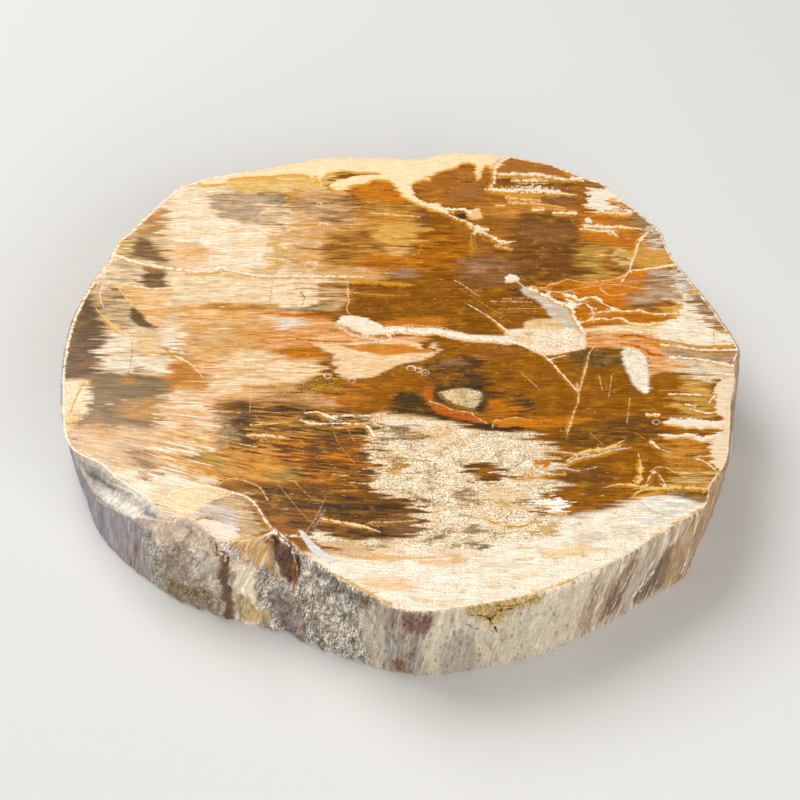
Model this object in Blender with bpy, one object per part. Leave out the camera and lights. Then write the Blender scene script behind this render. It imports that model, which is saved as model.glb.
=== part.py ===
"""A slice of petrified wood: one stone, sawn flat above and below, polished on top, its rim as it broke.

The stone is a loft between two unlike outlines, the rim of the polished face and the rim of the underside.
Between them the wall leans and bulges, and carries ribs, lumps and a groove, each on its own side.
Lengths are in millimetres, and MM turns them into metres. Angles are in degrees, from +X towards +Y.
The front of the stone is -Y.
"""

import math

import bmesh
import bpy
import numpy as np
from mathutils import Vector, noise

MM = 0.001

# Driving dimensions
THICKNESS = 17.2
RIM_RADIUS = 53.0
FOOT_CHAMFER = 0.35

# How finely the loft is divided
COLUMNS = 260
WALL_LEVELS = 12
CURVE_STEPS = 12

# The rim of the polished face, from the tip on the right and round by the back
FACE_RIM = [
    (55.1, 1.9), (53.6, 6.9), (51.9, 11.5), (50.0, 15.7), (48.3, 19.0), (46.9, 22.2), (45.4, 26.9),
    (44.8, 30.1), (42.9, 33.2), (40.3, 36.7), (37.4, 40.6), (35.1, 43.1), (31.1, 45.4), (25.8, 48.4),
    (18.6, 50.4), (11.1, 51.4), (7.7, 51.2), (2.6, 49.7), (-6.1, 50.1), (-15.2, 49.9), (-18.9, 48.7),
    (-27.1, 46.7), (-33.5, 45.1), (-38.8, 42.9), (-41.0, 41.4), (-44.7, 36.0), (-47.8, 30.6),
    (-49.7, 28.1), (-51.3, 22.6), (-52.9, 19.1), (-54.2, 14.9), (-55.6, 9.8), (-56.2, 3.5),
    (-56.1, -3.0), (-55.3, -10.0), (-54.5, -15.6), (-53.1, -19.3), (-50.8, -21.3), (-47.9, -22.9),
    (-44.9, -26.0), (-40.4, -29.6), (-36.6, -33.2), (-34.0, -33.6), (-31.7, -34.7), (-29.8, -36.9),
    (-27.6, -38.2), (-24.4, -38.2), (-21.9, -37.4), (-19.9, -36.3), (-17.6, -38.6), (-14.6, -41.2),
    (-11.2, -44.3), (-7.9, -46.7), (-4.4, -48.9), (-2.0, -50.5), (1.2, -51.3), (6.8, -50.8),
    (16.9, -48.7), (22.9, -46.6), (29.1, -43.4), (34.5, -40.0), (40.3, -35.6), (45.3, -32.2),
    (46.7, -30.2), (47.4, -27.4), (50.3, -22.5), (51.6, -16.4), (52.6, -9.6), (53.8, -4.4), (54.3, -0.7),
]

# The rim of the underside, in the same order; at the back it is set in a little, as the wall leans there
BASE_RIM = [
    (56.3, 1.6), (55.3, 8.0), (53.0, 13.6), (50.1, 19.6), (47.1, 26.2), (43.9, 31.8), (39.6, 37.2),
    (34.0, 42.0), (27.6, 45.6), (20.0, 48.4), (11.4, 50.3), (3.0, 50.0), (-6.0, 49.2), (-15.0, 48.4),
    (-24.0, 46.9), (-33.0, 43.4), (-40.3, 39.0), (-45.4, 33.2), (-49.6, 26.0), (-52.8, 18.0),
    (-55.2, 9.6), (-56.6, 2.0), (-56.7, -3.6), (-56.0, -7.8), (-54.8, -11.3), (-52.6, -16.9),
    (-50.6, -22.1), (-47.6, -26.6), (-43.7, -30.7), (-39.3, -34.3), (-36.0, -36.9), (-29.7, -39.7),
    (-26.8, -41.1), (-20.4, -42.5), (-16.6, -44.3), (-12.0, -46.6), (-7.4, -48.4), (-4.1, -49.8),
    (0.2, -50.8), (5.4, -51.0), (16.1, -48.9), (20.8, -47.5), (30.8, -42.0), (37.3, -37.5),
    (43.6, -33.4), (45.0, -31.8), (46.8, -27.6), (50.1, -20.5), (52.9, -13.2), (54.7, -7.6), (55.8, -2.6),
]

# The sides of the wall, each by the angles where it starts and ends, and by the angle over which it fades
RIND = (4, 170, 8)
WORN = (168, -137, 5)
BROKEN = (-136, -97, 3)
FIBROUS = (-98, -36, 4)
RIGHT = (-37, 5, 4)

# The worn edge between face and wall: how far out it reaches and how far it drops
WORN_EDGE = (0.35, 0.45)

# Where that edge broke away above the left lobe: the angles, their fade, and what it adds to width and drop
BROKEN_EDGE = (-137, -117, 3)
BROKEN_EDGE_MORE = (0.5, 1.1)

# The long chip at the left front: at each angle, the height where its facet meets the upright wall.
# CHIP_FADE is the depth at which it is a full chip, and CHIP_REACH how upright the wall below it is.
CHIP_FADE = 1.6
CHIP_REACH = 0.92
CHIP_FOOT = [
    (-168, 17.2), (-163, 13.0), (-158.7, 10.4), (-153.3, 12.3), (-148.7, 13.4),
    (-144, 14.8), (-141.5, 13.9), (-137, 15.9), (-134, 17.2),
]

# Profiles from the wall up to the face, as shares (inwards, upwards): a rounded edge, and a chip with a ledge
ROUNDED_PROFILE = [(0, 0), (0.12, 0.45), (0.5, 0.85), (1, 1)]
CHIP_PROFILE = [(0, 0), (0.55, 0.3), (0.68, 0.72), (1, 1)]

# Lumps and hollows of the broken side: (angle, height, half width, half height, how far it stands out)
BROKEN_LUMPS = [
    (-131.0, 10.5, 4.6, 5.0, 0.9),
    (-130.5, 2.0, 3.6, 2.6, -0.5),
    (-122.0, 12.5, 1.8, 3.4, -0.7),
    (-116.5, 13.0, 2.0, 4.0, 0.8),
    (-112.5, 15.0, 1.5, 2.2, -0.9),
    (-108.0, 8.0, 4.2, 4.6, 0.8),
    (-115.0, 3.5, 3.4, 2.4, -0.6),
    (-99.5, 12.5, 2.2, 2.6, -0.5),
]

# The groove between the left lobe and the rest: its angle under the face and at the foot
GROOVE = {"top": -126.6, "foot": -123.2, "width": 1.3, "depth": 1.6}

# How late the wall turns inwards on its way up: 1 is a straight lean, more is a bulge
LEAN_BROKEN = 1.9
LEAN_ELSEWHERE = 1.0

# Ribs lean to one side by this many degrees a millimetre, and relief dies out this fast at the rims
RIB_SLANT = 0.25
RIM_FADE = 7

STONE_COLOUR = (0.62, 0.42, 0.22, 1.0)
POLISHED_ROUGHNESS = 0.3
SHARP_EDGE = 38


def closed_curve(points):
    """Points on the smooth closed curve (Catmull-Rom) through these points."""
    count = len(points)
    curve = []
    for i in range(count):
        before, start, end, after = (Vector(points[(i + k) % count]) for k in (-1, 0, 1, 2))
        for step in range(CURVE_STEPS):
            t = step / CURVE_STEPS
            bend = (2 * before - 5 * start + 4 * end - after) * t * t
            swing = (3 * start - before - 3 * end + after) * t ** 3
            curve.append((2 * start + (end - before) * t + bend + swing) / 2)
    return curve


def radius_table(points):
    """The outline as radii at whole steps of angle, one for each column."""
    polar = sorted((math.atan2(p.y, p.x) % math.tau, p.length) for p in closed_curve(points))
    polar = [(polar[-1][0] - math.tau, polar[-1][1])] + polar + [(polar[0][0] + math.tau, polar[0][1])]
    radii, k = [], 0
    for column in range(COLUMNS):
        angle = math.tau * column / COLUMNS
        while polar[k + 1][0] < angle:
            k += 1
        (a0, r0), (a1, r1) = polar[k], polar[k + 1]
        radii.append(r0 + (r1 - r0) * (angle - a0) / max(a1 - a0, 1e-9))
    return radii


def ramp(x):
    """Rises smoothly from 0 to 1 as x does."""
    x = min(max(x, 0.0), 1.0)
    return x * x * (3 - 2 * x)


def within(angle, start, end, fade):
    """1 between the two angles and 0 away from them, with a soft step at each."""
    past = (angle - start + 180) % 360 - 180
    left = (end - angle + 180) % 360 - 180
    span = (end - start) % 360
    if span > 180:  # a long arc: measure from its middle
        middle = abs((angle - (start + span / 2) + 180) % 360 - 180)
        return ramp((span / 2 - middle) / fade + 0.5)
    return ramp(past / fade + 0.5) * ramp(left / fade + 0.5)


def edge_of_face(angle):
    """(width outwards, drop) of the edge between the face and the wall, away from the chip."""
    share = within(angle, *BROKEN_EDGE)
    return [worn + share * more for worn, more in zip(WORN_EDGE, BROKEN_EDGE_MORE)]


def wall_top(angle, face_radius, base_radius):
    """(radius, height) of the top of the wall, and how much of the edge above it is chip, from 0 to 1."""
    width, drop = edge_of_face(angle)
    worn_height = THICKNESS - drop
    chip_height = float(np.interp(angle, *zip(*CHIP_FOOT)))
    chip = ramp((worn_height - chip_height) / CHIP_FADE)
    height = min(worn_height, chip_height)
    radius = face_radius + width
    radius += chip * CHIP_REACH * (base_radius - radius)
    return radius, height, chip


def wall_noise(angle, z, across, upwards, seed):
    """Smooth noise over the wall, in waves of about 1 / across sideways and 1 / upwards in height."""
    spot = polar_point(angle, RIM_RADIUS * across, z * upwards + seed)
    return noise.noise(spot)


def relief(angle, z, share):
    """How far the wall stands out at this place, where share is the height from 0 to 1."""
    slanted = angle + RIB_SLANT * z
    ribs = wall_noise(slanted, z, 0.21, 0.03, 3.1)
    fine_ribs = wall_noise(slanted, z, 0.62, 0.05, 8.3)
    swell = wall_noise(angle, z, 0.085, 0.085, 5.7)
    lumps = wall_noise(angle, z, 0.3, 0.3, 1.9)
    out = within(angle, *RIND) * (0.9 * ribs + 0.4 * fine_ribs + 0.8 * swell + 0.45 * lumps)
    out += within(angle, *RIGHT) * (0.45 * ribs + 0.2 * fine_ribs)
    out += within(angle, *FIBROUS) * (0.15 * ribs + 0.15 * fine_ribs + 0.1 * lumps)
    out += within(angle, *WORN) * (0.12 * ribs + 0.15 * swell)
    out += within(angle, *BROKEN) * (0.75 * lumps + 0.5 * swell - groove(angle, z))
    for middle, height, width, tall, stands_out in BROKEN_LUMPS:
        aside = arc(angle - middle) / width
        above = (z - height) / tall
        out += stands_out * math.exp(-aside * aside - above * above)
    return out * ramp(share * RIM_FADE) * ramp((1 - share) * RIM_FADE)


def groove(angle, z):
    """Depth of the slanting groove at this place of the wall."""
    middle = GROOVE["foot"] + (GROOVE["top"] - GROOVE["foot"]) * z / THICKNESS
    aside = arc(angle - middle) / GROOVE["width"]
    return GROOVE["depth"] * math.exp(-aside * aside)


def arc(degrees):
    """Length along the rim that this angle spans."""
    return math.radians((degrees + 180) % 360 - 180) * RIM_RADIUS


def columns_of_stone():
    """For each column: its angle, the two rims' radii, and the top of the wall with its share of chip."""
    face_radii = radius_table(FACE_RIM)
    base_radii = radius_table(BASE_RIM)
    columns = []
    for c in range(COLUMNS):
        angle = (360 * c / COLUMNS + 180) % 360 - 180
        top = wall_top(angle, face_radii[c], base_radii[c])
        columns.append((angle, face_radii[c], base_radii[c], top))
    return columns


def wall_point(column, share):
    """A point of the wall, where share is the height from 0 at the foot to 1 at its top."""
    angle, face_radius, base_radius, (top_radius, top_height, chip) = column
    lean = LEAN_ELSEWHERE + (LEAN_BROKEN - LEAN_ELSEWHERE) * within(angle, *BROKEN)
    z = FOOT_CHAMFER + (top_height - FOOT_CHAMFER) * share
    radius = base_radius + (top_radius - base_radius) * share ** lean
    radius += relief(angle, z, share)
    return polar_point(angle, radius, z)


def edge_point(column, level):
    """A point of the edge above the wall, on this level of its profile."""
    angle, face_radius, base_radius, (top_radius, top_height, chip) = column
    inwards, upwards = (
        rounded + (chipped - rounded) * chip
        for rounded, chipped in zip(ROUNDED_PROFILE[level], CHIP_PROFILE[level])
    )
    radius = top_radius + (face_radius - top_radius) * inwards
    return polar_point(angle, radius, top_height + (THICKNESS - top_height) * upwards)


def polar_point(angle, radius, z):
    turn = math.radians(angle)
    return Vector((radius * math.cos(turn), radius * math.sin(turn), z))


def rings_of_stone():
    """The loft's rings, from the underside up to the polished face."""
    columns = columns_of_stone()
    rings = [[polar_point(angle, base - FOOT_CHAMFER, 0) for angle, face, base, top in columns]]
    for level in range(WALL_LEVELS + 1):
        rings.append([wall_point(column, level / WALL_LEVELS) for column in columns])
    for level in range(1, len(ROUNDED_PROFILE)):
        rings.append([edge_point(column, level) for column in columns])
    return rings


def skin(mesh, rings):
    """Joins the rings with faces and closes both ends with a flat face."""
    loops = [[mesh.verts.new(point * MM) for point in ring] for ring in rings]
    for lower, upper in zip(loops, loops[1:]):
        for c in range(COLUMNS):
            d = (c + 1) % COLUMNS
            mesh.faces.new((lower[c], lower[d], upper[d], upper[c]))
    mesh.faces.new(loops[-1])
    mesh.faces.new(list(reversed(loops[0])))


def centre_over_origin(mesh):
    """Moves the stone so that the middle of its box lies over the origin; the underside stays at z = 0."""
    for axis in (0, 1):
        places = [v.co[axis] for v in mesh.verts]
        middle = (min(places) + max(places)) / 2
        for v in mesh.verts:
            v.co[axis] -= middle


def stone_material():
    material = bpy.data.materials.new("petrified_wood")
    material.use_nodes = True
    shader = material.node_tree.nodes["Principled BSDF"]
    shader.inputs["Base Color"].default_value = STONE_COLOUR
    shader.inputs["Roughness"].default_value = POLISHED_ROUGHNESS
    shader.inputs["Metallic"].default_value = 0.0
    return material


def make_slice(collection):
    mesh = bmesh.new()
    skin(mesh, rings_of_stone())
    centre_over_origin(mesh)
    data = bpy.data.meshes.new("petrified_wood_slice")
    mesh.to_mesh(data)
    mesh.free()
    data.shade_smooth()
    data.set_sharp_from_angle(angle=math.radians(SHARP_EDGE))
    data.materials.append(stone_material())
    stone = bpy.data.objects.new("petrified_wood_slice", data)
    collection.objects.link(stone)
    return stone


def main():
    for obj in list(bpy.data.objects):
        bpy.data.objects.remove(obj)
    collection = bpy.data.collections.new("petrified_wood_slice")
    bpy.context.scene.collection.children.link(collection)
    make_slice(collection)


main()
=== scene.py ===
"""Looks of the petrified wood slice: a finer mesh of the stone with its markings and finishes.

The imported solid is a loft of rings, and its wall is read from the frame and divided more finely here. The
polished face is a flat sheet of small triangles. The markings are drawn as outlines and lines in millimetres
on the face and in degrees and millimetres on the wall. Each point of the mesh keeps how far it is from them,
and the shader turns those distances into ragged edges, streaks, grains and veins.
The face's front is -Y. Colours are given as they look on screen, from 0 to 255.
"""

import math

import bpy
import numpy as np
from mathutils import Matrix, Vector, geometry, noise


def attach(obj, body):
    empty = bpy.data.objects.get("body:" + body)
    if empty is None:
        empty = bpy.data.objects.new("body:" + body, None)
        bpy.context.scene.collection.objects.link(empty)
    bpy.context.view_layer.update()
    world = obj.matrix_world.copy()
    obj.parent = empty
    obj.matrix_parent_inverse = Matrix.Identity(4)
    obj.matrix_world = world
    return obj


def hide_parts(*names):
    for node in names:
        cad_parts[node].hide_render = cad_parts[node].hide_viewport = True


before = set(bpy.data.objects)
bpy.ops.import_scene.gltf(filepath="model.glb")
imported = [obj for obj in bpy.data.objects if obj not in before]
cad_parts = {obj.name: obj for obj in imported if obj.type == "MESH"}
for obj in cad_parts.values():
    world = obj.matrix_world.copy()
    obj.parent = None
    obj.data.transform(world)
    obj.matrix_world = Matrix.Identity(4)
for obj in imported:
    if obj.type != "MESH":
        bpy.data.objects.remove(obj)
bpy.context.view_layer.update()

MM = 0.001
NODE = "petrified_wood_slice"

# Where part.py counts its columns' angles from, before it moves the stone over the origin
CENTRE = (0.0885, -0.3213)
RIM_RADIUS = 53.0
MM_PER_DEGREE = math.radians(RIM_RADIUS)

# How finely the mesh is divided; the face and the underside in mm along and across the grain
COLUMNS = 260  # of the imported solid
COLUMN_STEPS = 5
LEVEL_STEPS = 4
FACE_STEPS = (0.5, 0.23)
UNDERSIDE_STEPS = (1.2, 0.8)
RIM_GAP = 0.7  # between the rim and the first points within it, as a share of the step along the grain
RIM_THINNED = 4  # only every so many rim points count for that gap
SHARP_ANGLE = 40.0
ZONE_STEPS = 3  # between two points of a zone's outline
EDGE_STEPS = 4  # between two points of a patch's outline or of a line
SAME_PLACE = 0.01  # points of a column less than this apart are one

# Parts of the wall: from and to which degree, and over how many degrees they fade
BROKEN_SIDE = (-137.0, -97.0, 4.0)
FRONT_SIDE = (-97.0, -56.0, 4.0)
BACK_SIDE = (5.0, 170.0, 10.0)

# The wall's fine relief in mm: (height, size across the fibres, size along them, place in the noise)
RIBS = [(0.2, 1.1, 9.0, 0), (0.14, 0.45, 6.0, 20)]
LUMPS = [(1.1, 2.4, 2.0, 40), (0.6, 0.9, 0.8, 60)]
RIND = [(0.5, 3.5, 6.0, 80), (0.3, 1.0, 1.6, 60)]
PIT_SPOTS = [(1.0, 0.8, 0.7, 60)]
PIT_SHARE = (0.25, 0.2)  # the noise at a pit's edge, and how much more there is at its bottom
PIT_DEPTH = 0.5
LUMPS_SINK = 0.15
RELIEF_SINK = 0.08
RELIEF_LIMITS = (-0.9, 0.35)
RIM_RELIEF = (0.35, 0.65)  # share of the relief at the rim, and what is added below it
RIM_BAND = 1.2  # of height over which the relief dies away

# Grain of the face: along X, rising a little, and sloping down at the lower left
GRAIN_RISE = 0.02
SLOPE_BELOW = (-6.0, 14.0)  # Y where it begins, and over how many mm
SLOPE_LEFT = (-38.0, 20.0)  # X of its middle, and half its width
SLOPE_DROP = 6.0

# Grain of the wall: how much its fibres lean, in degrees per mm of height
WALL_SLANT = 0.17

# How far fibres tear the edges of zones: (mm, length and width of the streaks, place in the noise)
TEAR_ALONG = [(2.2, 5.0, 0.3, 3.0), (2.0, 8.0, 0.9, 9.0)]
LONG_TEARS = (20.0, 7.0, 0.5, 14.0)  # the noise is cubed, so that few fibres reach far
TEAR_ACROSS = [(0.45, 4.0, 2.5, 5.0), (0.2, 2.0, 0.6, 7.0)]
THIRD_AXIS = 1.7  # how much the wall's second direction across the grain moves the streaks
WALL_TEAR = (0.9, 0.45)  # sideways and upright, as shares of these
PATCH_TEAR = 1.2  # of the edges of crisp patches, as a share of their raggedness

# Beyond this distance in mm a patch or line is not seen
FAR = 3.0
NO_PATCH = (-FAR, 0.2, 0.1)  # distance, raggedness and softness
NO_LINE = (FAR, FAR, 0.0)  # sideways offset, distance and half width
PATCH_OVERLAP = 0.01

# How strong a patch's golden rim is, and how much stronger along its lower edge
RIM_STRENGTH = (0.35, 0.8)

# The ground before the first zone
FACE_BASE = {"light": "amber", "dark": "deep amber", "share": 0.5, "grains": 0.0, "calm": 0.2}
WALL_BASE = {"light": "silver", "dark": "taupe", "share": 0.6, "grains": 0.2, "calm": 0.3}

# The face's rim lines, partly the pale chipped edge and partly a painted highlight, widest at the left:
# (colour, start and end in degrees, half width)
RIM_LINES_WITH_HIGHLIGHT = [
    ("white", -180, -141, 0.2), ("ivory", -136, -122, 0.18), ("straw", -122, -87, 0.12),
    ("straw", -82, -60, 0.1), ("ivory", -56, -5, 0.14), ("white", 0, 60, 0.16), ("ivory", 62, 118, 0.16),
    ("white", 118, 180, 0.24),
]
RIM_LINE_STEP = 6  # of the wall's columns
RIM_LINE_INSET = 0.8  # of its half width

# Bubbles under the polish, opened by it: (x, y, radius, depth)
BUBBLES = [
    (-15.1, 37.3, 0.4, 0.15), (-14.2, 31.9, 0.75, 0.25), (-15.1, 26.9, 0.65, 0.25), (-16.1, 21.7, 1.1, 0.35),
    (-8.6, -5.3, 0.6, 0.2), (1.0, -2.7, 0.7, 0.2), (2.3, -3.1, 0.6, 0.2), (3.3, -3.6, 0.7, 0.25),
    (40.2, -14.4, 0.6, 0.2), (-12.6, -4.3, 0.6, 0.2),
]
BUBBLE_HEIGHT = 0.8  # of its width
BUBBLE_HIGHLIGHT_RIM = 0.09  # half width of the pale line round it, a painted highlight on its edge
BUBBLE_RINGS = (0.45, 0.8, 1.0)  # of mesh points, as shares of its radius

# Noises that break the figure up: (scale along and across the grain, place, detail, roughness)
NOISES = {
    "broad": (0.13, 0.9, (0, 0, 0), 2.0, 0.6),
    "middle": (0.22, 2.6, (7, 3, 0), 2.0, 0.6),
    "thin": (0.45, 5.5, (4, 4, 0), 2.0, 0.7),
    "grains": (2.0, 2.6, (2, 9, 0), 2.0, 0.7),
    "sparkle": (3.6, 4.6, (8, 1, 0), 2.0, 0.7),
    "mottle": (0.36, 0.5, (9, 9, 0), 3.0, 0.65),
    "stain": (0.28, 0.55, (3, 1, 0), 4.0, 0.7),
    "uneven": (0.3, 3.4, (1, 8, 0), 2.0, 0.6),
    "rays": (1.7, 0.15, (5, 2, 0), 2.0, 0.6),
    "flecks": (0.9, 3.6, (6, 5, 0), 1.0, 0.5),
    "glints": (0.5, 5.2, (9, 3, 0), 2.0, 0.7),
    "hairs": (0.2, 8.0, (2, 2, 0), 1.0, 0.5),
    "knots": (1.1, 1.4, (3, 6, 0), 3.0, 0.7),
}

# What shades and shares a noise or distance turns into: (from, to, start, end)
GOLDEN_STAINS = (0.5, 0.66, 0.0)  # up to how stained the finish is
CLOUDS = (0.42, 0.3, 0.0, 0.55)
FIBRE_SHADES = (0.32, 0.68, 0.66, 1.36)
GRAIN_SHADES = (0.3, 0.7, 0.74, 1.3)
LIGHT_FIBRES = (0.6, 0.72, 1.0, 1.3)
DARK_FIBRES = (0.3, 0.42, 0.6, 1.0)
RAYS = (0.3, 0.7, 0.95, 1.05)
FLECKS = (0.7, 0.76, 0.0, 0.7)
GLINTS = (0.54, 0.62, 0.0, 0.35)
HAIRS = (0.62, 0.7, 0.0, 0.3)
PATCH_RIM = (0.5, 0.1)
KNOTS = (0.3, 0.7, -0.15, 1.5)
LINE_SEEN = (-0.08, 0.08)
LINE_ENDS = (0.7, 0.5)
LINE_WARMTH = (0.42, 0.62, 0.6, 0.0)
HALO_REACH = (-0.3, 0.0, 0.0, 0.7)
HALO_WIDTHS = (0.08, 0.24, 0.0)  # up to how stained the finish is, and HALO_MORE
HALO_MORE = 0.2

# How the ground's noises are weighed
MOTTLE_SHARE = 0.4  # how much the mottle moves the grains
BALANCE_SHARE = 0.3  # how much the light colour's share moves the balance of light and dark
CONTRAST = (0.1, 0.14)  # half the width of the step from dark to light, in streaks and in grains
CALM_CONTRAST = 0.16  # added to it in calm ground
HALF_LIGHT_WARMTH = 2.6  # how strongly fibres between light and dark are warmed
GOLDEN_SHARE = (0.35, 0.8)  # in streaks and in grains
CALM_SHADE = 0.85  # how far calm ground loses its light and dark fibres

# Edges of patches and lines in mm
PATCH_WANDER = 7.0  # times the patch's raggedness
PATCH_SHADE = (0.55, 0.45)  # how much of the ground's shade a patch takes on, and the rest
RIM_PLACE = 0.1  # of a patch's golden rim, inside its edge
LINE_SHAKE = 0.5
HALO_BELOW = 0.6  # how far below a vein its halo reaches further
HALO_LONGER = -0.55

# What half-light fibres and the seams beside veins are multiplied by, in the face and in the wall
FACE_WARMTH = (1.0, 0.9, 0.68, 1.0)
WALL_WARMTH = (1.0, 0.97, 0.93, 1.0)

# Finishes: how stained, roughness from and to, bump strength and distance in metres
POLISHED = {"stained": 0.7, "roughness": (0.14, 0.3), "bump": (0.06, 0.0001)}
ROUGH = {"stained": 0.2, "roughness": (0.62, 0.85), "bump": (0.7, 0.0004)}
GRAIN_ROUGHNESS = (0.3, 0.8)  # the grains' noise at the least and the greatest roughness
POLISH_IOR = 1.54
POLISH_SPECULAR = 0.2

# Camera and light
CAMERA_TARGET = (-0.7745, 5.7777, 0.0)
CAMERA_ELEVATION = 48.0
CAMERA_DISTANCE = 330.8
CAMERA_LENS = 85.74
CAMERA_SENSOR = 36.0
CAMERA_NEAR = 0.01  # in metres, as is the floor's size
FLOOR_SIZE = 3.0
FLOOR_COLOUR = (222, 220, 216)
FLOOR_ROUGHNESS = 0.9
SKY_STRENGTH = 0.22
KEY_LIGHT = {"place": (-260, 230, 520), "size": 420, "power": 3.7, "mirrored": True}
FILL_LIGHT = {"place": (230, -420, 260), "size": 400, "power": 2.2, "mirrored": False}

# What a white surface on the floor shows as, and so what the colours below are divided by
EXPOSURE = 1.08

COLOURS = {
    "white": (247, 239, 226), "ivory": (241, 224, 199), "cream": (236, 211, 176), "butter": (247, 220, 174),
    "peach": (234, 192, 144), "sand": (212, 177, 133), "wheat": (230, 196, 128), "straw": (210, 165, 84),
    "ochre": (200, 144, 34), "gold": (224, 152, 34), "honey": (206, 144, 62), "orange": (200, 116, 14),
    "rust": (182, 84, 14), "amber": (146, 88, 4), "deep amber": (114, 68, 0), "brown": (122, 76, 22),
    "brick": (170, 104, 34), "umber": (90, 60, 26), "dark": (62, 46, 24), "olive": (106, 86, 44),
    "moss": (140, 108, 32), "lilac": (206, 202, 207), "slate": (156, 149, 155), "stone": (222, 212, 190),
    "flint": (174, 160, 136), "pebble": (104, 92, 80), "plum": (116, 84, 76), "shell": (236, 216, 198),
    "ash": (180, 174, 170), "taupe": (150, 124, 96), "mist": (188, 163, 134), "silver": (212, 205, 194),
    "mauve": (140, 98, 64), "lavender": (160, 128, 112), "frost": (224, 213, 208),
}


def zone(light, dark, share, fade, outline, grains=0.0, tear=1.0, calm=0.35):
    """A soft area of the ground: streaks, or grains, of two colours, the light one's share, how far its
    edge is torn along the grain, and how calm its streaks are."""
    return {"light": light, "dark": dark, "share": share, "fade": fade, "outline": outline,
            "grains": grains, "tear": tear, "calm": calm}


def patch(colour, outline, ragged=0.25, rim=0.0, soft=0.12):
    """An area with a crisp edge: how ragged it is in mm, how strong its golden rim is, and how soft it is."""
    return {"colour": colour, "outline": outline, "ragged": ragged, "rim": rim, "soft": soft}


def line(colour, points, width=None):
    """A vein or crack through points (x, y, half width), or through points (x, y) of one half width."""
    if width:
        points = [(x, y, width) for x, y in points]
    return {"colour": colour, "points": points}


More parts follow.
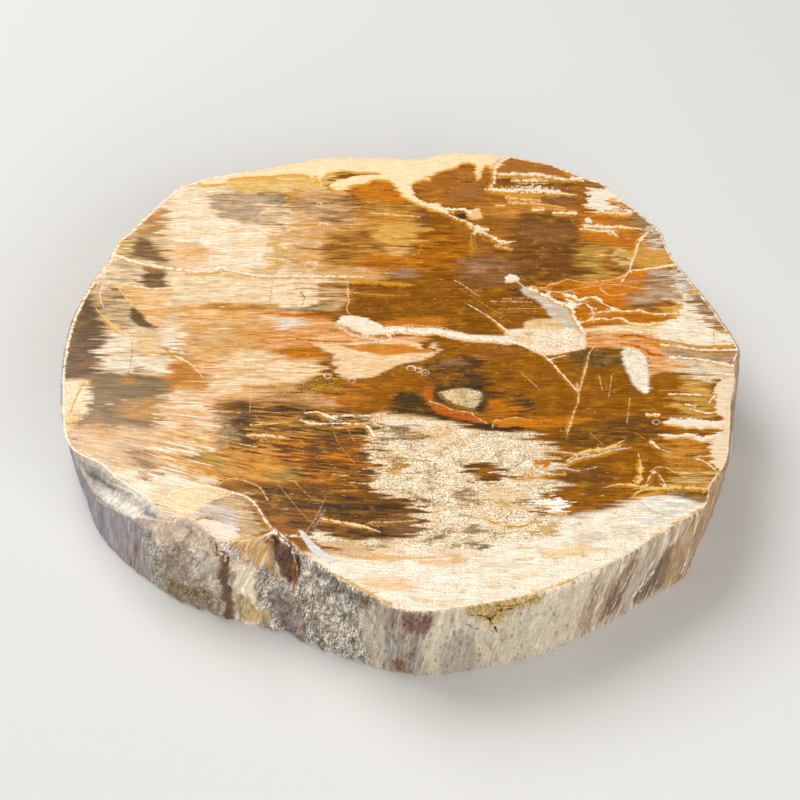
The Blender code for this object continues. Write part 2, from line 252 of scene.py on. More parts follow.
GROUND = [
    # The upper left, pale and fibrous
    zone("cream", "mist", 0.66, 4.0, [(-60, 56), (-18, 56), (-18, 12), (-22, 8), (-40, 4), (-60, 4)]),
    zone("ivory", "peach", 0.7, 3.0, [(-43, 40), (-34, 41), (-30, 36), (-24, 30), (-23, 22), (-38, 21),
        (-40, 28)]),
    zone("mist", "taupe", 0.7, 1.2, [(-34, 40), (-25, 40), (-24.5, 36), (-26, 32), (-30, 33), (-34, 36)]),
    zone("wheat", "straw", 0.6, 0.8, [(-32, 43.6), (-27, 44.4), (-20, 45.4), (-14, 45.4), (-13, 41),
        (-13, 39), (-18, 38.6), (-20, 41), (-26, 40.2), (-31.4, 41)]),
    zone("honey", "brick", 0.6, 0.8, [(-21.4, 40.4), (-18.6, 40.6), (-18.8, 35.6), (-21.5, 34.6)]),
    zone("cream", "brown", 0.62, 0.7, [(-25.4, 38), (-21, 37.6), (-21, 34), (-21.6, 31), (-25.4, 31.4)]),
    zone("mist", "olive", 0.45, 1.0, [(-25.2, 40.4), (-21.4, 40.4), (-21.6, 37.4), (-25, 37.6)]),
    zone("wheat", "olive", 0.5, 1.6, [(-49.4, 28.4), (-46.5, 28.9), (-42.4, 27), (-40, 22), (-44, 22),
        (-49.6, 24.6)]),
    zone("taupe", "umber", 0.35, 1.4, [(-46.4, 28.4), (-44.6, 28), (-41.5, 22.4), (-46, 23.6), (-47, 26)],
        tear=0.4, calm=0.6),
    zone("honey", "taupe", 0.55, 1.6, [(-47.6, 31), (-45.4, 35.6), (-43, 35), (-42.4, 31), (-43.6, 28.6),
        (-46.4, 28.8)]),
    zone("peach", "sand", 0.6, 2.0, [(-39.6, 27), (-36, 27.4), (-34, 24), (-36, 21.5), (-40.5, 22),
        (-41, 25)]),
    zone("honey", "peach", 0.5, 1.2, [(-37.6, 25.4), (-35.6, 25.6), (-35.6, 23.8), (-37.4, 23.8)]),
    zone("cream", "sand", 0.7, 0.6, [(-20.8, 34), (-18.6, 34), (-18.6, 20), (-21, 20)]),
    zone("sand", "straw", 0.4, 1.0, [(-23, 30), (-21, 30), (-21, 20), (-23.4, 20)]),

    # The middle of the top: grey-olive and tan, then amber
    zone("sand", "honey", 0.5, 2.0, [(-18.6, 40), (-12, 40), (-8, 34), (-2, 34), (0, 20), (-18.6, 19)]),
    zone("sand", "brown", 0.6, 1.6, [(-19, 38.6), (-13, 39.6), (-9.6, 39), (-9.6, 33), (-12, 32),
        (-19, 35)]),
    zone("honey", "brown", 0.4, 1.6, [(-13, 30), (-6, 31), (-4, 25), (-8, 21), (-14, 22)]),
    zone("honey", "amber", 0.6, 1.4, [(-8, 34.6), (2.2, 34.2), (2.8, 30), (-6, 30)]),
    zone("straw", "honey", 0.65, 1.4, [(-4, 31.6), (2.6, 32), (2.2, 27), (-4.6, 27)]),
    zone("straw", "amber", 0.4, 1.0, [(-7, 38.4), (-2, 37.2), (3, 36.6), (3, 34.8), (-7, 34.8)]),
    zone("orange", "amber", 0.6, 1.0, [(-8, 22.6), (-5, 24.2), (-1, 24.2), (3, 23), (2, 20), (-2, 19.4),
        (-7.4, 21)]),
    zone("amber", "deep amber", 0.55, 2.5, [(2.6, 36), (8, 35), (13, 30), (20, 26), (22, 6), (6, 6),
        (-2, 8), (-3, 18), (2.4, 22)]),
    zone("orange", "deep amber", 0.45, 1.5, [(3, 30), (12, 29), (12.6, 22), (3, 20)]),
    zone("brick", "brown", 0.55, 2.0, [(10, 34), (20, 40), (31, 41), (31, 24), (22, 20), (12, 24)]),
    zone("honey", "brick", 0.5, 1.5, [(15, 40.4), (30, 39), (30.6, 34.4), (20, 34), (13, 35)]),
    zone("brick", "brown", 0.75, 0.9, [(1.6, 41.6), (5, 44), (10, 47.8), (13, 47.6), (16, 46),
        (15.6, 41.5), (18, 39.4), (22, 38), (16, 36.6), (8, 36.6), (3.6, 38)]),
    zone("mauve", "brick", 0.5, 1.6, [(9, 41.6), (12.6, 41.6), (12.6, 39), (9, 39)]),
    zone("orange", "brick", 0.7, 0.8, [(-10.4, 41), (-5.6, 43.3), (-3.3, 43.3), (-1.4, 40.8), (1, 38),
        (-2, 37.4), (-6, 38), (-8.5, 39.6)]),
    zone("mauve", "brown", 0.4, 0.7, [(2.4, 35), (4.2, 35), (4.2, 32), (2.4, 32)]),
    zone("mauve", "brown", 0.55, 1.4, [(10, 23), (19.6, 23.4), (19.6, 16.8), (10, 16.8)]),
    zone("lavender", "mauve", 0.5, 1.0, [(10.3, 22), (13.2, 21.9), (13.2, 19.6), (10.4, 19.8)]),
    zone("lavender", "mauve", 0.55, 0.9, [(-1.8, 20.8), (1.4, 20.4), (1.6, 18.8), (0, 18.2),
        (-1.8, 18.8)]),
    zone("brown", "umber", 0.6, 1.6, [(20.4, 34), (30, 33), (30, 20), (28, 16), (20.4, 18)]),
    zone("mauve", "brown", 0.4, 1.8, [(21, 32), (29, 31.6), (28.6, 27.6), (21, 28)]),

    # The upper right
    zone("brick", "mauve", 0.6, 1.0, [(17, 50), (26, 49.4), (32, 46), (31, 41.6), (16.4, 41.4)]),
    zone("brown", "umber", 0.7, 0.8, [(17.2, 44.2), (30, 43.4), (30, 42), (17, 41.8)]),
    zone("mauve", "brown", 0.5, 1.2, [(23.8, 40.4), (31, 41.6), (31.4, 37), (26, 36.8)]),
    zone("brown", "brick", 0.5, 0.9, [(30.4, 46), (34, 45), (35.4, 41.8), (33.2, 41), (31.4, 34.8),
        (30.2, 35)]),
    zone("orange", "brick", 0.5, 1.6, [(31.4, 34.6), (40, 34.4), (41, 30), (41, 25), (32, 25)]),
    zone("straw", "moss", 0.5, 1.6, [(31, 26), (35, 26.4), (34.6, 20), (36, 17.8), (30.6, 17.8)]),
    zone("wheat", "moss", 0.6, 0.9, [(36, 25.4), (37.5, 25.8), (39.5, 24.6), (39.4, 22.6), (38.4, 21.4),
        (36.5, 21.8)]),
    zone("brick", "brown", 0.6, 0.7, [(34.2, 25), (36, 25), (36, 19.6), (34.6, 20)]),
    zone("taupe", "olive", 0.55, 0.9, [(40, 34.4), (41.2, 35.2), (44.4, 31.6), (43.2, 30.6), (40, 31.4)]),
    zone("silver", "taupe", 0.5, 0.9, [(43.4, 31.6), (45.2, 30.4), (45.8, 27), (46.4, 24), (43, 25),
        (42, 27.4)]),
    zone("straw", "honey", 0.5, 1.2, [(40.4, 26), (46.4, 25), (47.4, 22.4), (40, 21.2)]),
    zone("orange", "rust", 0.6, 0.6, [(42.4, 29.6), (43, 29), (41.6, 26.8), (40.6, 26.4)]),

    # The left side
    zone("olive", "umber", 0.3, 2.4, [(-57, 16), (-53, 15), (-49.6, 3.6), (-57, 5)], tear=0.45, calm=0.7),
    zone("taupe", "umber", 0.1, 2.4, [(-57, 5), (-50.4, 4.4), (-50, -3), (-48, -5), (-53, -5.6),
        (-57, -4)], tear=0.45, calm=0.8),
    zone("sand", "olive", 0.55, 0.9, [(-52.2, 18), (-49.4, 16.8), (-45.8, 11.4), (-46.2, 7), (-47.6, 5.6),
        (-50.4, 8.6), (-52, 12)]),
    zone("cream", "taupe", 0.6, 0.8, [(-51.6, 22.4), (-45, 21), (-44.8, 16.6), (-51.2, 17.8)]),
    zone("taupe", "umber", 0.35, 0.9, [(-45, 20.8), (-44, 21.2), (-41.2, 20.7), (-41.2, 18),
        (-40.6, 16.2), (-44.4, 16.4)], tear=0.3, calm=0.6),
    zone("cream", "taupe", 0.6, 1.2, [(-46, 7), (-40.8, 6.4), (-40, 11), (-33, 11.4), (-31.6, 7),
        (-34, 4), (-46, 4)], 0.5),
    zone("ivory", "mist", 0.7, 1.5, [(-49.9, 4), (-46, 5), (-45.7, -4), (-50, -2)]),
    zone("ivory", "mist", 0.7, 1.5, [(-44.8, 0.6), (-39, 0.1), (-37.4, -1), (-37, -3), (-38.5, -4.6),
        (-44.6, -3.2)]),
    zone("cream", "straw", 0.6, 1.0, [(-45, 5.4), (-40.6, 4.4), (-40.4, 0.6), (-45, 0.8)]),
    zone("ivory", "mist", 0.75, 1.4, [(-42, 6.4), (-34, 6.6), (-33.6, 2), (-38, 1)]),
    zone("taupe", "olive", 0.5, 2.2, [(-50.6, -4.4), (-42, -5), (-38.6, -4.8), (-38.4, -10), (-41, -16),
        (-48, -15), (-51, -12)], tear=0.4, calm=0.8),
    zone("honey", "taupe", 0.5, 1.6, [(-45.6, -10), (-38.4, -9.6), (-38.4, -13.6), (-45, -13)]),
    zone("mauve", "taupe", 0.5, 1.6, [(-51.4, -12.4), (-48.4, -12.4), (-47, -16.6), (-50, -16.6)]),
    zone("peach", "mist", 0.5, 2.0, [(-54.6, -16), (-46, -15.6), (-38, -16.4), (-39, -24), (-45, -25.4),
        (-53, -20)]),
    zone("peach", "brick", 0.55, 0.9, [(-49.8, -14.8), (-47.8, -15), (-46.8, -17.6), (-49.4, -16.8)]),

    zone("ivory", "wheat", 0.66, 0.8, [(-57, -6.3), (-53, -5.2), (-51.6, -6), (-50.6, -10),
        (-51.4, -13.5), (-52.5, -14.5), (-53, -16), (-56, -16.5)], 0.4, 0.6),
    zone("wheat", "straw", 0.5, 0.6, [(-53.8, -12.4), (-52.8, -12), (-51.8, -13.4), (-52.6, -15.4),
        (-53.6, -15)], 0.4, 0.6),

    # The middle left: peach, tan and cream streaks
    zone("peach", "honey", 0.5, 2.4, [(-40, 12), (-22, 12), (-16, 8), (-13, -2), (-18, -8), (-30, -10),
        (-38, -8), (-36, 4)]),
    zone("sand", "honey", 0.5, 2.0, [(-36, 7), (-22, 7.6), (-21, 2.4), (-34, 1)]),
    zone("honey", "brick", 0.5, 1.8, [(-38.4, -1), (-34, -1.6), (-31, -9.4), (-38, -9.4)]),
    zone("cream", "honey", 0.65, 1.2, [(-31.6, -3), (-28, 0.4), (-22, 1.6), (-17, -1), (-13, -2.4),
        (-14.4, -5), (-19, -6.4), (-25, -7), (-31.4, -9)]),
    zone("peach", "orange", 0.4, 1.2, [(-24, 6.4), (-15, 6), (-12, 1.6), (-16, -0.4), (-24, 2)]),
    zone("orange", "amber", 0.55, 0.9, [(-20, 2.2), (-13, 2.2), (-13.6, -0.4), (-20, -0.2)]),
    zone("cream", "sand", 0.72, 1.6, [(-38, 20), (-24, 18.6), (-23, 12.4), (-38.4, 12.4)]),
    zone("cream", "sand", 0.85, 0.5, [(-22.2, 18.4), (-12.6, 18.2), (-12.4, 14), (-14.4, 11.8),
        (-18, 11.2), (-21, 11.2), (-22.2, 13)]),
    zone("sand", "amber", 0.45, 0.9, [(-14, 18.2), (-10.2, 18), (-10, 10.6), (-14.4, 11.8)]),
    zone("mist", "olive", 0.5, 0.35, [(-21.6, 11.3), (-12, 11.2), (-11.8, 10.4), (-21.6, 10.5)]),
    zone("orange", "rust", 0.6, 0.4, [(-23, 10.3), (-13, 9.7), (-13.4, 8.9), (-22, 9.5)]),
    zone("silver", "peach", 0.6, 0.8, [(-21.8, 9.3), (-17.6, 8.8), (-16.8, 6.6), (-18.4, 5.6),
        (-21.4, 7)]),
    zone("straw", "brick", 0.5, 0.8, [(-34, 12.4), (-22.8, 12.2), (-22.8, 11), (-34, 10.8)]),

    # Under the long vein: the peach lens, orange streaks and the dark band
    zone("peach", "orange", 0.5, 0.8, [(-16.5, 8.6), (-11.4, 8.2), (-6, 4.6), (2, 4.6), (3.4, 3),
        (-4, 3.2), (-12, 3), (-18, 4)]),
    zone("orange", "brick", 0.5, 0.9, [(-3, 8.4), (5.6, 9), (7, 6.8), (3, 6.4), (-3, 6.6)]),
    zone("amber", "deep amber", 0.8, 1.6, [(-12, -5), (-5, -4.4), (5, 0.6), (4.4, -6), (2, -9), (-8, -13),
        (-20, -12), (-20, -7)]),
    zone("orange", "umber", 0.55, 1.6, [(-13, -6), (-7, -6.4), (-5, -9), (-8, -11.4), (-13, -10)]),
    zone("peach", "amber", 0.45, 1.0, [(-22, -6.6), (-15, -7.4), (-12, -9.6), (-12, -11.6), (-24, -11)],
        0.35),
    zone("ochre", "dark", 0.5, 0.8, [(-17, -5.6), (-13, -4.6), (-11, -5), (-10.4, -6.6), (-12, -8.2),
        (-16, -8)], 0.6, calm=0.0),

    # The dark streaked area at the lower left of the middle
    zone("amber", "umber", 0.45, 1.6, [(-27, -10), (-5, -12.6), (-4.6, -17), (-5.6, -21), (-3.6, -25),
        (-4, -30), (-22, -29), (-29, -25), (-27.6, -18)]),
    zone("honey", "dark", 0.4, 1.4, [(-25, -10.6), (-10, -12), (-5.6, -15), (-6, -19), (-14, -18.4),
        (-24, -18)], calm=0.0),
    zone("honey", "amber", 0.66, 1.4, [(-28.6, -18.6), (-20, -18.4), (-13, -20.6), (-13, -26), (-20, -27),
        (-30, -26)], calm=0.0),
    zone("orange", "umber", 0.36, 1.2, [(-20, -18.6), (-10, -17.4), (-6, -20), (-5, -24), (-8, -29),
        (-16, -26), (-19, -22)], calm=0.0),
    zone("mauve", "dark", 0.3, 0.7, [(-27.2, -11.6), (-25.4, -10.2), (-24, -14.6), (-24.6, -17.6),
        (-26.6, -17.4)]),
    zone("sand", "olive", 0.4, 0.6, [(-30, -13), (-27.6, -12.8), (-27, -15), (-27, -18.4), (-28.4, -19.8),
        (-30.4, -19)], 0.7),
    zone("amber", "dark", 0.35, 0.6, [(-26.6, -17.6), (-23.4, -18.4), (-24, -20.2), (-26.6, -20)]),
    zone("straw", "olive", 0.55, 0.9, [(-20.6, -24), (-17, -23.8), (-16.8, -26.6), (-20, -27)]),
    zone("amber", "dark", 0.45, 1.4, [(-23, -27.6), (-12, -28.6), (-9, -30), (-11, -35), (-15.6, -38),
        (-20, -35), (-23, -31)], 0.3, calm=0.1),

    # The lower left, cream and yellow
    zone("ivory", "honey", 0.55, 1.4, [(-39, -8), (-32, -8), (-30, -12), (-31, -17), (-38.6, -17)]),
    zone("ivory", "honey", 0.45, 1.4, [(-39, -16.6), (-30.4, -16), (-29, -22), (-29, -27), (-36, -28),
        (-42, -25)], calm=0.0),
    zone("white", "cream", 0.6, 1.6, [(-44, -24.6), (-38, -24.4), (-33, -27), (-36, -28.4),
        (-44, -27.6)]),
    zone("brown", "umber", 0.6, 0.6, [(-33.6, -21.4), (-30.4, -21), (-29.6, -23), (-33, -23.4)]),
    zone("straw", "moss", 0.4, 1.0, [(-34, -22), (-28.8, -21), (-28.8, -26), (-31.6, -25)]),
    zone("ivory", "sand", 0.66, 1.2, [(-53.6, -20), (-45, -24.4), (-38, -27), (-30, -26.6), (-30, -33),
        (-38, -34), (-48, -25)]),
    zone("sand", "brown", 0.6, 0.9, [(-43, -20.4), (-39.6, -20.4), (-38.4, -25.4), (-41, -26.4)]),
    zone("ivory", "wheat", 0.62, 0.5, [(-39.5, -30.4), (-36.5, -30), (-36, -28.5), (-34, -28),
        (-31, -27.8), (-27, -28.8), (-26.8, -29.2), (-28, -29.8), (-30, -30.5), (-31.5, -31.5),
        (-33, -33.2), (-35, -33.4), (-36, -32)], 0.3, 0.15),
    zone("sand", "taupe", 0.62, 1.0, [(-28.6, -29.4), (-25.4, -29), (-23.6, -31), (-22, -38.6),
        (-26, -38), (-28, -34)]),
    zone("lilac", "mist", 0.6, 0.6, [(-31.2, -31.6), (-29.5, -30.8), (-28, -32), (-25.4, -35.6),
        (-30, -33.6)]),
    zone("brick", "umber", 0.6, 0.8, [(-20, -33.6), (-18, -32.7), (-16.2, -34), (-17, -39), (-19, -37)]),

    # The eye and the deep amber to its right
    zone("amber", "deep amber", 0.7, 2.0, [(5, 3), (16, 3), (30, 1.4), (50, 0), (51, -12), (48, -27),
        (36, -29), (24, -34), (24, -19), (19, -17), (4, -12)]),
    zone("brick", "brown", 0.4, 1.2, [(12.4, 2.6), (17, 2.4), (17.4, 0), (13, -0.6)]),
    zone("umber", "dark", 0.5, 1.0, [(4, -0.6), (7, -0.7), (12.8, -0.3), (13.6, -6.4), (15, -8),
        (16, -11.6), (13, -13), (11, -12), (5, -7), (3.8, -4.6)]),
    zone("mauve", "umber", 0.75, 0.8, [(4.6, -1), (9.6, -0.7), (9.4, -2.2), (5.2, -2.8)]),
    zone("amber", "umber", 0.7, 0.6, [(5, -4.4), (8.6, -2.7), (9.6, -3.6), (9, -5.2), (7, -5.9),
        (5, -6)]),
    zone("umber", "dark", 0.4, 0.9, [(-1.4, -8.6), (1.6, -7.8), (3.4, -8.6), (4.6, -11), (6.4, -12.6),
        (3, -13.4), (-0.6, -12.6), (-2.4, -11.4)]),
    zone("orange", "amber", 0.5, 1.0, [(13, -9.6), (16, -9.4), (19, -12.4), (18, -14), (13, -12.6)]),
    zone("umber", "dark", 0.6, 0.9, [(18.4, -9), (20.6, -9), (21.2, -12.4), (19, -12.6)]),
    zone("orange", "amber", 0.7, 0.9, [(18.6, -14.4), (24, -13.5), (32, -13.6), (32.6, -15), (27, -15.8),
        (22, -16.3), (19, -15.6)]),
    zone("amber", "umber", 0.35, 2.0, [(25, -15.8), (39, -13), (40.4, -18), (33, -19.6), (24, -18.4)]),
    zone("umber", "dark", 0.6, 0.7, [(19.4, 15.4), (22, 15.6), (23, 13.4), (20, 13)]),
    zone("olive", "umber", 0.5, 1.2, [(28.4, 1.2), (35.4, 1.5), (36.4, -1.4), (31, -2.4), (28.6, -3)]),
    zone("brown", "umber", 0.6, 1.2, [(23.4, -24.6), (28, -24.4), (31.4, -22), (32.6, -26.8), (30, -27.8),
        (24, -27)]),
    zone("honey", "amber", 0.5, 1.4, [(40.6, -18.4), (47.4, -18.6), (48, -24.8), (42, -25)]),
    zone("amber", "umber", 0.62, 0.6, [(24.6, -29), (28, -28.4), (33, -28), (35.4, -29.4), (34, -30.5),
        (31.5, -31.3), (30, -32.3), (26.5, -33.9), (24.9, -33.9), (24.5, -32), (24.8, -30.5)], 0, 0.3,
        0.1),
    zone("wheat", "amber", 0.45, 0.6, [(41.6, -27.4), (42.6, -25.4), (44, -25), (48.2, -24.9),
        (48.6, -26.5), (47.4, -28.3), (44.6, -27.6)]),

    # The orange field with its panel, and the grey one beside it
    zone("orange", "amber", 0.55, 0.9, [(22.6, 16.6), (28, 18), (31, 17.5), (36, 18.6), (39.5, 20.2),
        (41, 19), (44, 11), (43.4, 8), (36, 6), (29.6, 6.4), (28, 12)]),
    zone("orange", "rust", 0.85, 0.8, [(29, 17.2), (34, 17.7), (39.5, 20.3), (42.2, 20), (41.4, 18),
        (39.6, 15), (38.4, 12), (36.6, 11.4), (32.4, 13.6), (29, 15)]),
    zone("mist", "mauve", 0.6, 0.5, [(42.2, 20.3), (46.2, 20.6), (46.3, 18), (46, 15), (44.5, 12.8),
        (42, 11.4), (39, 11.2), (38.4, 12.6), (41.4, 17.6)]),
    zone("brick", "umber", 0.45, 0.9, [(38, 11.6), (43, 12.6), (44.4, 12.6), (43.4, 10.6), (38, 10.6)]),
    zone("straw", "ochre", 0.5, 0.5, [(43.4, 10.8), (45, 12.6), (46.1, 14.6), (46.3, 9.4), (44.4, 8.8),
        (43.2, 9.6)]),
    zone("wheat", "ivory", 0.5, 0.8, [(29.6, 6), (32, 6.6), (37, 7.2), (43.4, 7.4), (42, 4.2), (38, 5.2),
        (30, 5.2)], 0.5),
    zone("peach", "orange", 0.45, 0.6, [(29.9, 5.2), (33, 5.8), (36, 5.4), (42, 4.6), (43.4, 1.4),
        (45.4, -0.4), (46.2, -3), (44, -3.8), (41, -3.5), (40, -4.6), (39.6, 0.4), (36.4, 1.6), (31, 2.1),
        (30, 2.6)]),

    # The right side
    zone("ivory", "cream", 0.9, 0.5, [(46.4, 20.6), (49, 17.5), (52, 10), (55, 5), (56, 2.4), (48, 2.7),
        (42, 4), (43.3, 8), (46.1, 9.6)]),
    zone("silver", "taupe", 0.8, 0.8, [(46.6, 21), (48.6, 20), (49.6, 16.6), (47.8, 12.6), (46.9, 13)]),
    zone("honey", "straw", 0.6, 0.5, [(48.9, 18), (50.6, 16.6), (51, 14), (49.6, 14.8)]),
    zone("mauve", "mist", 0.6, 0.5, [(48.2, 13.3), (49.6, 14.9), (51.2, 13), (53.4, 8.6), (54.2, 5.4),
        (52.6, 5.8), (50.2, 9), (48.8, 12)]),
    zone("mist", "mauve", 0.55, 0.4, [(43.2, 2.9), (46, 2.3), (49, 1.5), (55, 1.5), (55, -2.1),
        (52, -1.2), (46, -0.1), (44, 0.4)]),
    zone("ivory", "mist", 0.6, 0.7, [(45, -0.4), (49, -1), (55, -2.4), (55, -5), (51, -5), (49.5, -6.5),
        (45.5, -3)], 0.6),
    zone("straw", "amber", 0.6, 0.8, [(46, -5), (49.4, -5.6), (50.4, -7.4), (50, -13), (44, -13.2),
        (43, -8)]),

    # The pale front and the sandy middle
    zone("white", "shell", 0.6, 1.6, [(0, -37), (14, -35), (30, -32.8), (36, -30.2), (47, -30.6),
        (46, -33), (30, -45), (16, -51), (0, -53), (-8, -49), (-17, -43), (-14, -40.4), (-9, -41.4),
        (-4, -40)], 0.7, calm=0.2),
    zone("ivory", "moss", 0.7, 0.9, [(-5.6, -13), (-1, -12.7), (8, -14.5), (13, -16.2), (19.5, -16.6),
        (21, -17.8), (24.6, -19.6), (21.6, -21.6), (24.6, -23.6), (21.6, -26), (25, -27.6), (20.4, -30),
        (20, -33), (24, -36), (10, -40), (2, -39.6), (-13, -39), (-13.4, -36.6), (-8, -37.8), (-4, -38.2),
        (1.4, -37.6), (3, -35.6), (1.6, -33.6), (0.6, -30.6), (-2, -30), (-5.6, -27), (-4, -25),
        (-5, -23), (-5.6, -20.8), (-6.6, -20), (-5.2, -18)], 1.0, calm=0.0),
    zone("mist", "umber", 0.42, 1.0, [(-4, -15.4), (-1, -15), (1, -15.8), (2.4, -18), (0, -18.4)], 0.7),
    zone("ivory", "ochre", 0.6, 1.6, [(2, -15), (8, -15.4), (7.4, -19), (3, -19)], 0.9),
    zone("mist", "brown", 0.55, 0.6, [(8, -28.6), (9, -27.9), (10.6, -29), (10, -30.6), (8.6, -31.8),
        (8, -30.6)], 0.8),
    zone("mist", "olive", 0.5, 0.8, [(9, -35.4), (11, -35.2), (11.4, -36.6), (9.4, -36.8)], 0.8),
    zone("taupe", "brown", 0.5, 0.8, [(1.4, -30), (2.8, -29.6), (3.6, -30.8), (2.4, -31.6), (1.6, -31.2)],
        0.8),
    zone("taupe", "brown", 0.5, 0.8, [(4.4, -37.4), (5.6, -37.4), (5.8, -38.6), (4.4, -38.6)], 0.8),
    zone("taupe", "olive", 0.5, 0.8, [(10.2, -39), (12, -38.8), (12, -40.2), (10.4, -40.2)], 0.8),
    zone("wheat", "taupe", 0.5, 0.8, [(20.6, -35.6), (23, -35.8), (22.8, -37.6), (20.8, -37.2)], 0.8),
    zone("ivory", "ochre", 0.6, 1.4, [(13, -28.4), (18, -28), (19, -31), (16, -32.6), (12.6, -31.4)],
        0.9),
    zone("straw", "brown", 0.5, 0.8, [(-2.4, -22), (-0.6, -21.8), (0.2, -24.4), (-1.4, -25.6)], 0.9),
    zone("amber", "dark", 0.45, 0.5, [(9, -24), (10, -23.2), (12, -22.9), (16, -24), (16.6, -24.8),
        (15, -25.5), (14.6, -27.4), (13, -27.1), (11.5, -25.6), (10, -25)]),
    zone("amber", "dark", 0.25, 0.8, [(-13, -30), (-8, -30.2), (-4, -30), (0, -30.3), (1, -33),
        (2.4, -35.4), (2.4, -37), (-1, -38), (-9, -37.6), (-12, -36), (-13, -33)]),
    zone("mauve", "umber", 0.5, 0.8, [(-2, -33), (1, -32.8), (2.4, -35.4), (2, -37), (-3, -37.2)]),
    zone("white", "silver", 0.5, 1.4, [(35.4, -30.4), (40, -29.9), (46.4, -31.4), (45, -33), (41, -35),
        (36, -34.6), (34.6, -32.4)]),
    zone("taupe", "olive", 0.6, 0.5, [(40.4, -28.7), (43, -28.5), (45.5, -29.2), (46.9, -30.6),
        (45.5, -31.1), (43.5, -30.3), (41.5, -30)]),
    zone("silver", "cream", 0.6, 1.2, [(26, -36.4), (29, -36.4), (29, -39), (26, -39)]),
    zone("silver", "cream", 0.5, 1.2, [(32, -35.4), (35, -35.6), (34.6, -38), (32, -37.6)]),
    zone("peach", "straw", 0.6, 1.6, [(-6, -40.6), (-1, -40.2), (0, -42), (-5, -42.6)], 0.6),
    zone("peach", "sand", 0.6, 1.6, [(4, -41), (10, -40.6), (11, -42.4), (5, -43)], 0.6),
    zone("ivory", "wheat", 0.5, 1.6, [(22, -40), (28, -39), (28, -41), (22, -42)], 0.6),
    zone("peach", "cream", 0.5, 1.2, [(-7, -45), (0, -46), (2, -48), (-4, -47.4)], 0.4),
    zone("white", "cream", 0.5, 1.6, [(12, -43), (20, -42), (18, -46), (12, -45)]),

    # The long vein, the blade that runs into its right end, the blade below that end, and the eye
    zone("white", "stone", 0.66, 0.3, [(-3.6, 6.7), (-1, 6.9), (1, 6.6), (5, 6.5), (7, 5.9), (9, 5.6),
        (11, 5), (15, 4.7), (17.4, 4.5), (17.8, 2.6), (15, 3), (11, 3.3), (7, 4.3), (5, 5), (3, 4.7),
        (-1, 5.2), (-3.4, 5.1)], 0.9, 0.1),
    zone("silver", "mist", 0.6, 0.4, [(19.9, 15.4), (20.7, 16.3), (21.9, 16.1), (22.6, 14.9),
        (24.3, 13.6), (27.6, 10.8), (29.6, 6.6), (29.9, 5.2), (27, 5.8), (25.2, 7.6), (23.6, 11.2),
        (22.4, 12.9), (20.8, 14)], 0.2, 0.1),
    zone("white", "stone", 0.6, 0.35, [(36, 1.5), (37.2, 2), (39.6, 0.2), (39.8, -5), (39.4, -8),
        (38.8, -8.2), (37.8, -7.3), (36.8, -5), (35.8, -0.5)], 0.8, 0.1),
    zone("umber", "dark", 0.4, 0.8, [(4.4, -8.6), (6, -6.8), (12, -6.4), (13.4, -8), (13.4, -10.4),
        (11.6, -12.2), (6.4, -10.6)], 0, 0.2, 0.3),
    zone("cream", "olive", 0.66, 0.4, [(5.5, -8.3), (6.5, -7.6), (9.5, -7.1), (11, -7.3), (12.2, -8),
        (12.5, -9), (11, -11.6), (8.5, -10.9), (6.3, -9.2)], 0.9, 0.1),
    zone("peach", "mist", 0.5, 0.8, [(-13, -38.6), (-9, -38.4), (-5, -40), (-6, -42), (-10, -41)], 0.5),

    zone("rust", "brick", 0.6, 0.3, [(3, -7), (3.1, -9), (4.6, -12), (6, -13), (8, -13.8), (12, -14.8),
        (13.5, -14.8), (13, -14), (11.5, -13.3), (10.8, -12.5), (8, -11.8), (5.2, -10.3), (4.6, -9.7),
        (4.3, -6.8)], 0, 0.1, 0.2),

    # The triangles at the left, the lens under the long vein, and the mass at the vein's right end
    zone("peach", "honey", 0.62, 0.5, [(-49, 16.8), (-46, 16.3), (-43, 15.7), (-39.3, 15.9), (-40.5, 12),
        (-40, 10), (-40.3, 8), (-41.3, 7), (-42.3, 7.4), (-43.5, 9), (-48, 15)], 0, 0.15),
    zone("olive", "umber", 0.6, 0.5, [(-46, 11.2), (-45, 10.9), (-43, 8), (-41.3, 6.7), (-42.5, 6.4),
        (-44.5, 7), (-45.6, 8), (-46.1, 9.5)], 0, 0.15),
    zone("cream", "peach", 0.5, 0.5, [(-15.5, 3.1), (-11, 2.9), (-6, 3.4), (-1, 3.5), (2.3, 3.1),
        (3.4, 2.3), (3.1, 1.2), (4.6, 1), (4.9, 2.9), (5.5, 2.9), (5.9, 1.7), (3, -0.7), (0.5, -1.3),
        (-3, -3), (-5, -4.5), (-8, -5), (-10.5, -4.7), (-11, -3), (-12.4, 1)], 0, 0.35),
    zone("orange", "honey", 0.6, 0.5, [(-9.4, 2), (-6, 2.9), (-1, 2.8), (1.6, 2.4), (2.5, 1.6), (1, 0.8),
        (-3, 0.3), (-6, 0.7)], 0, 0.6),
    zone("white", "gold", 0.68, 0.3, [(16.6, 5.9), (17.6, 6.2), (25, 6.7), (29.5, 5.9), (30.1, 4),
        (30, 2), (29, 1.5), (27, 1), (25.5, 0.4), (23, 0.2), (21.8, 0.6), (20, 2), (18.3, 3), (17.4, 4)],
        0.9, 0.15),
    zone("cream", "straw", 0.5, 0.4, [(20, 6.6), (20.4, 7.9), (21.5, 8.5), (24.6, 8.7), (25.6, 7.8),
        (27, 6.2), (22, 6.3)], 0.5, 0.2),
]

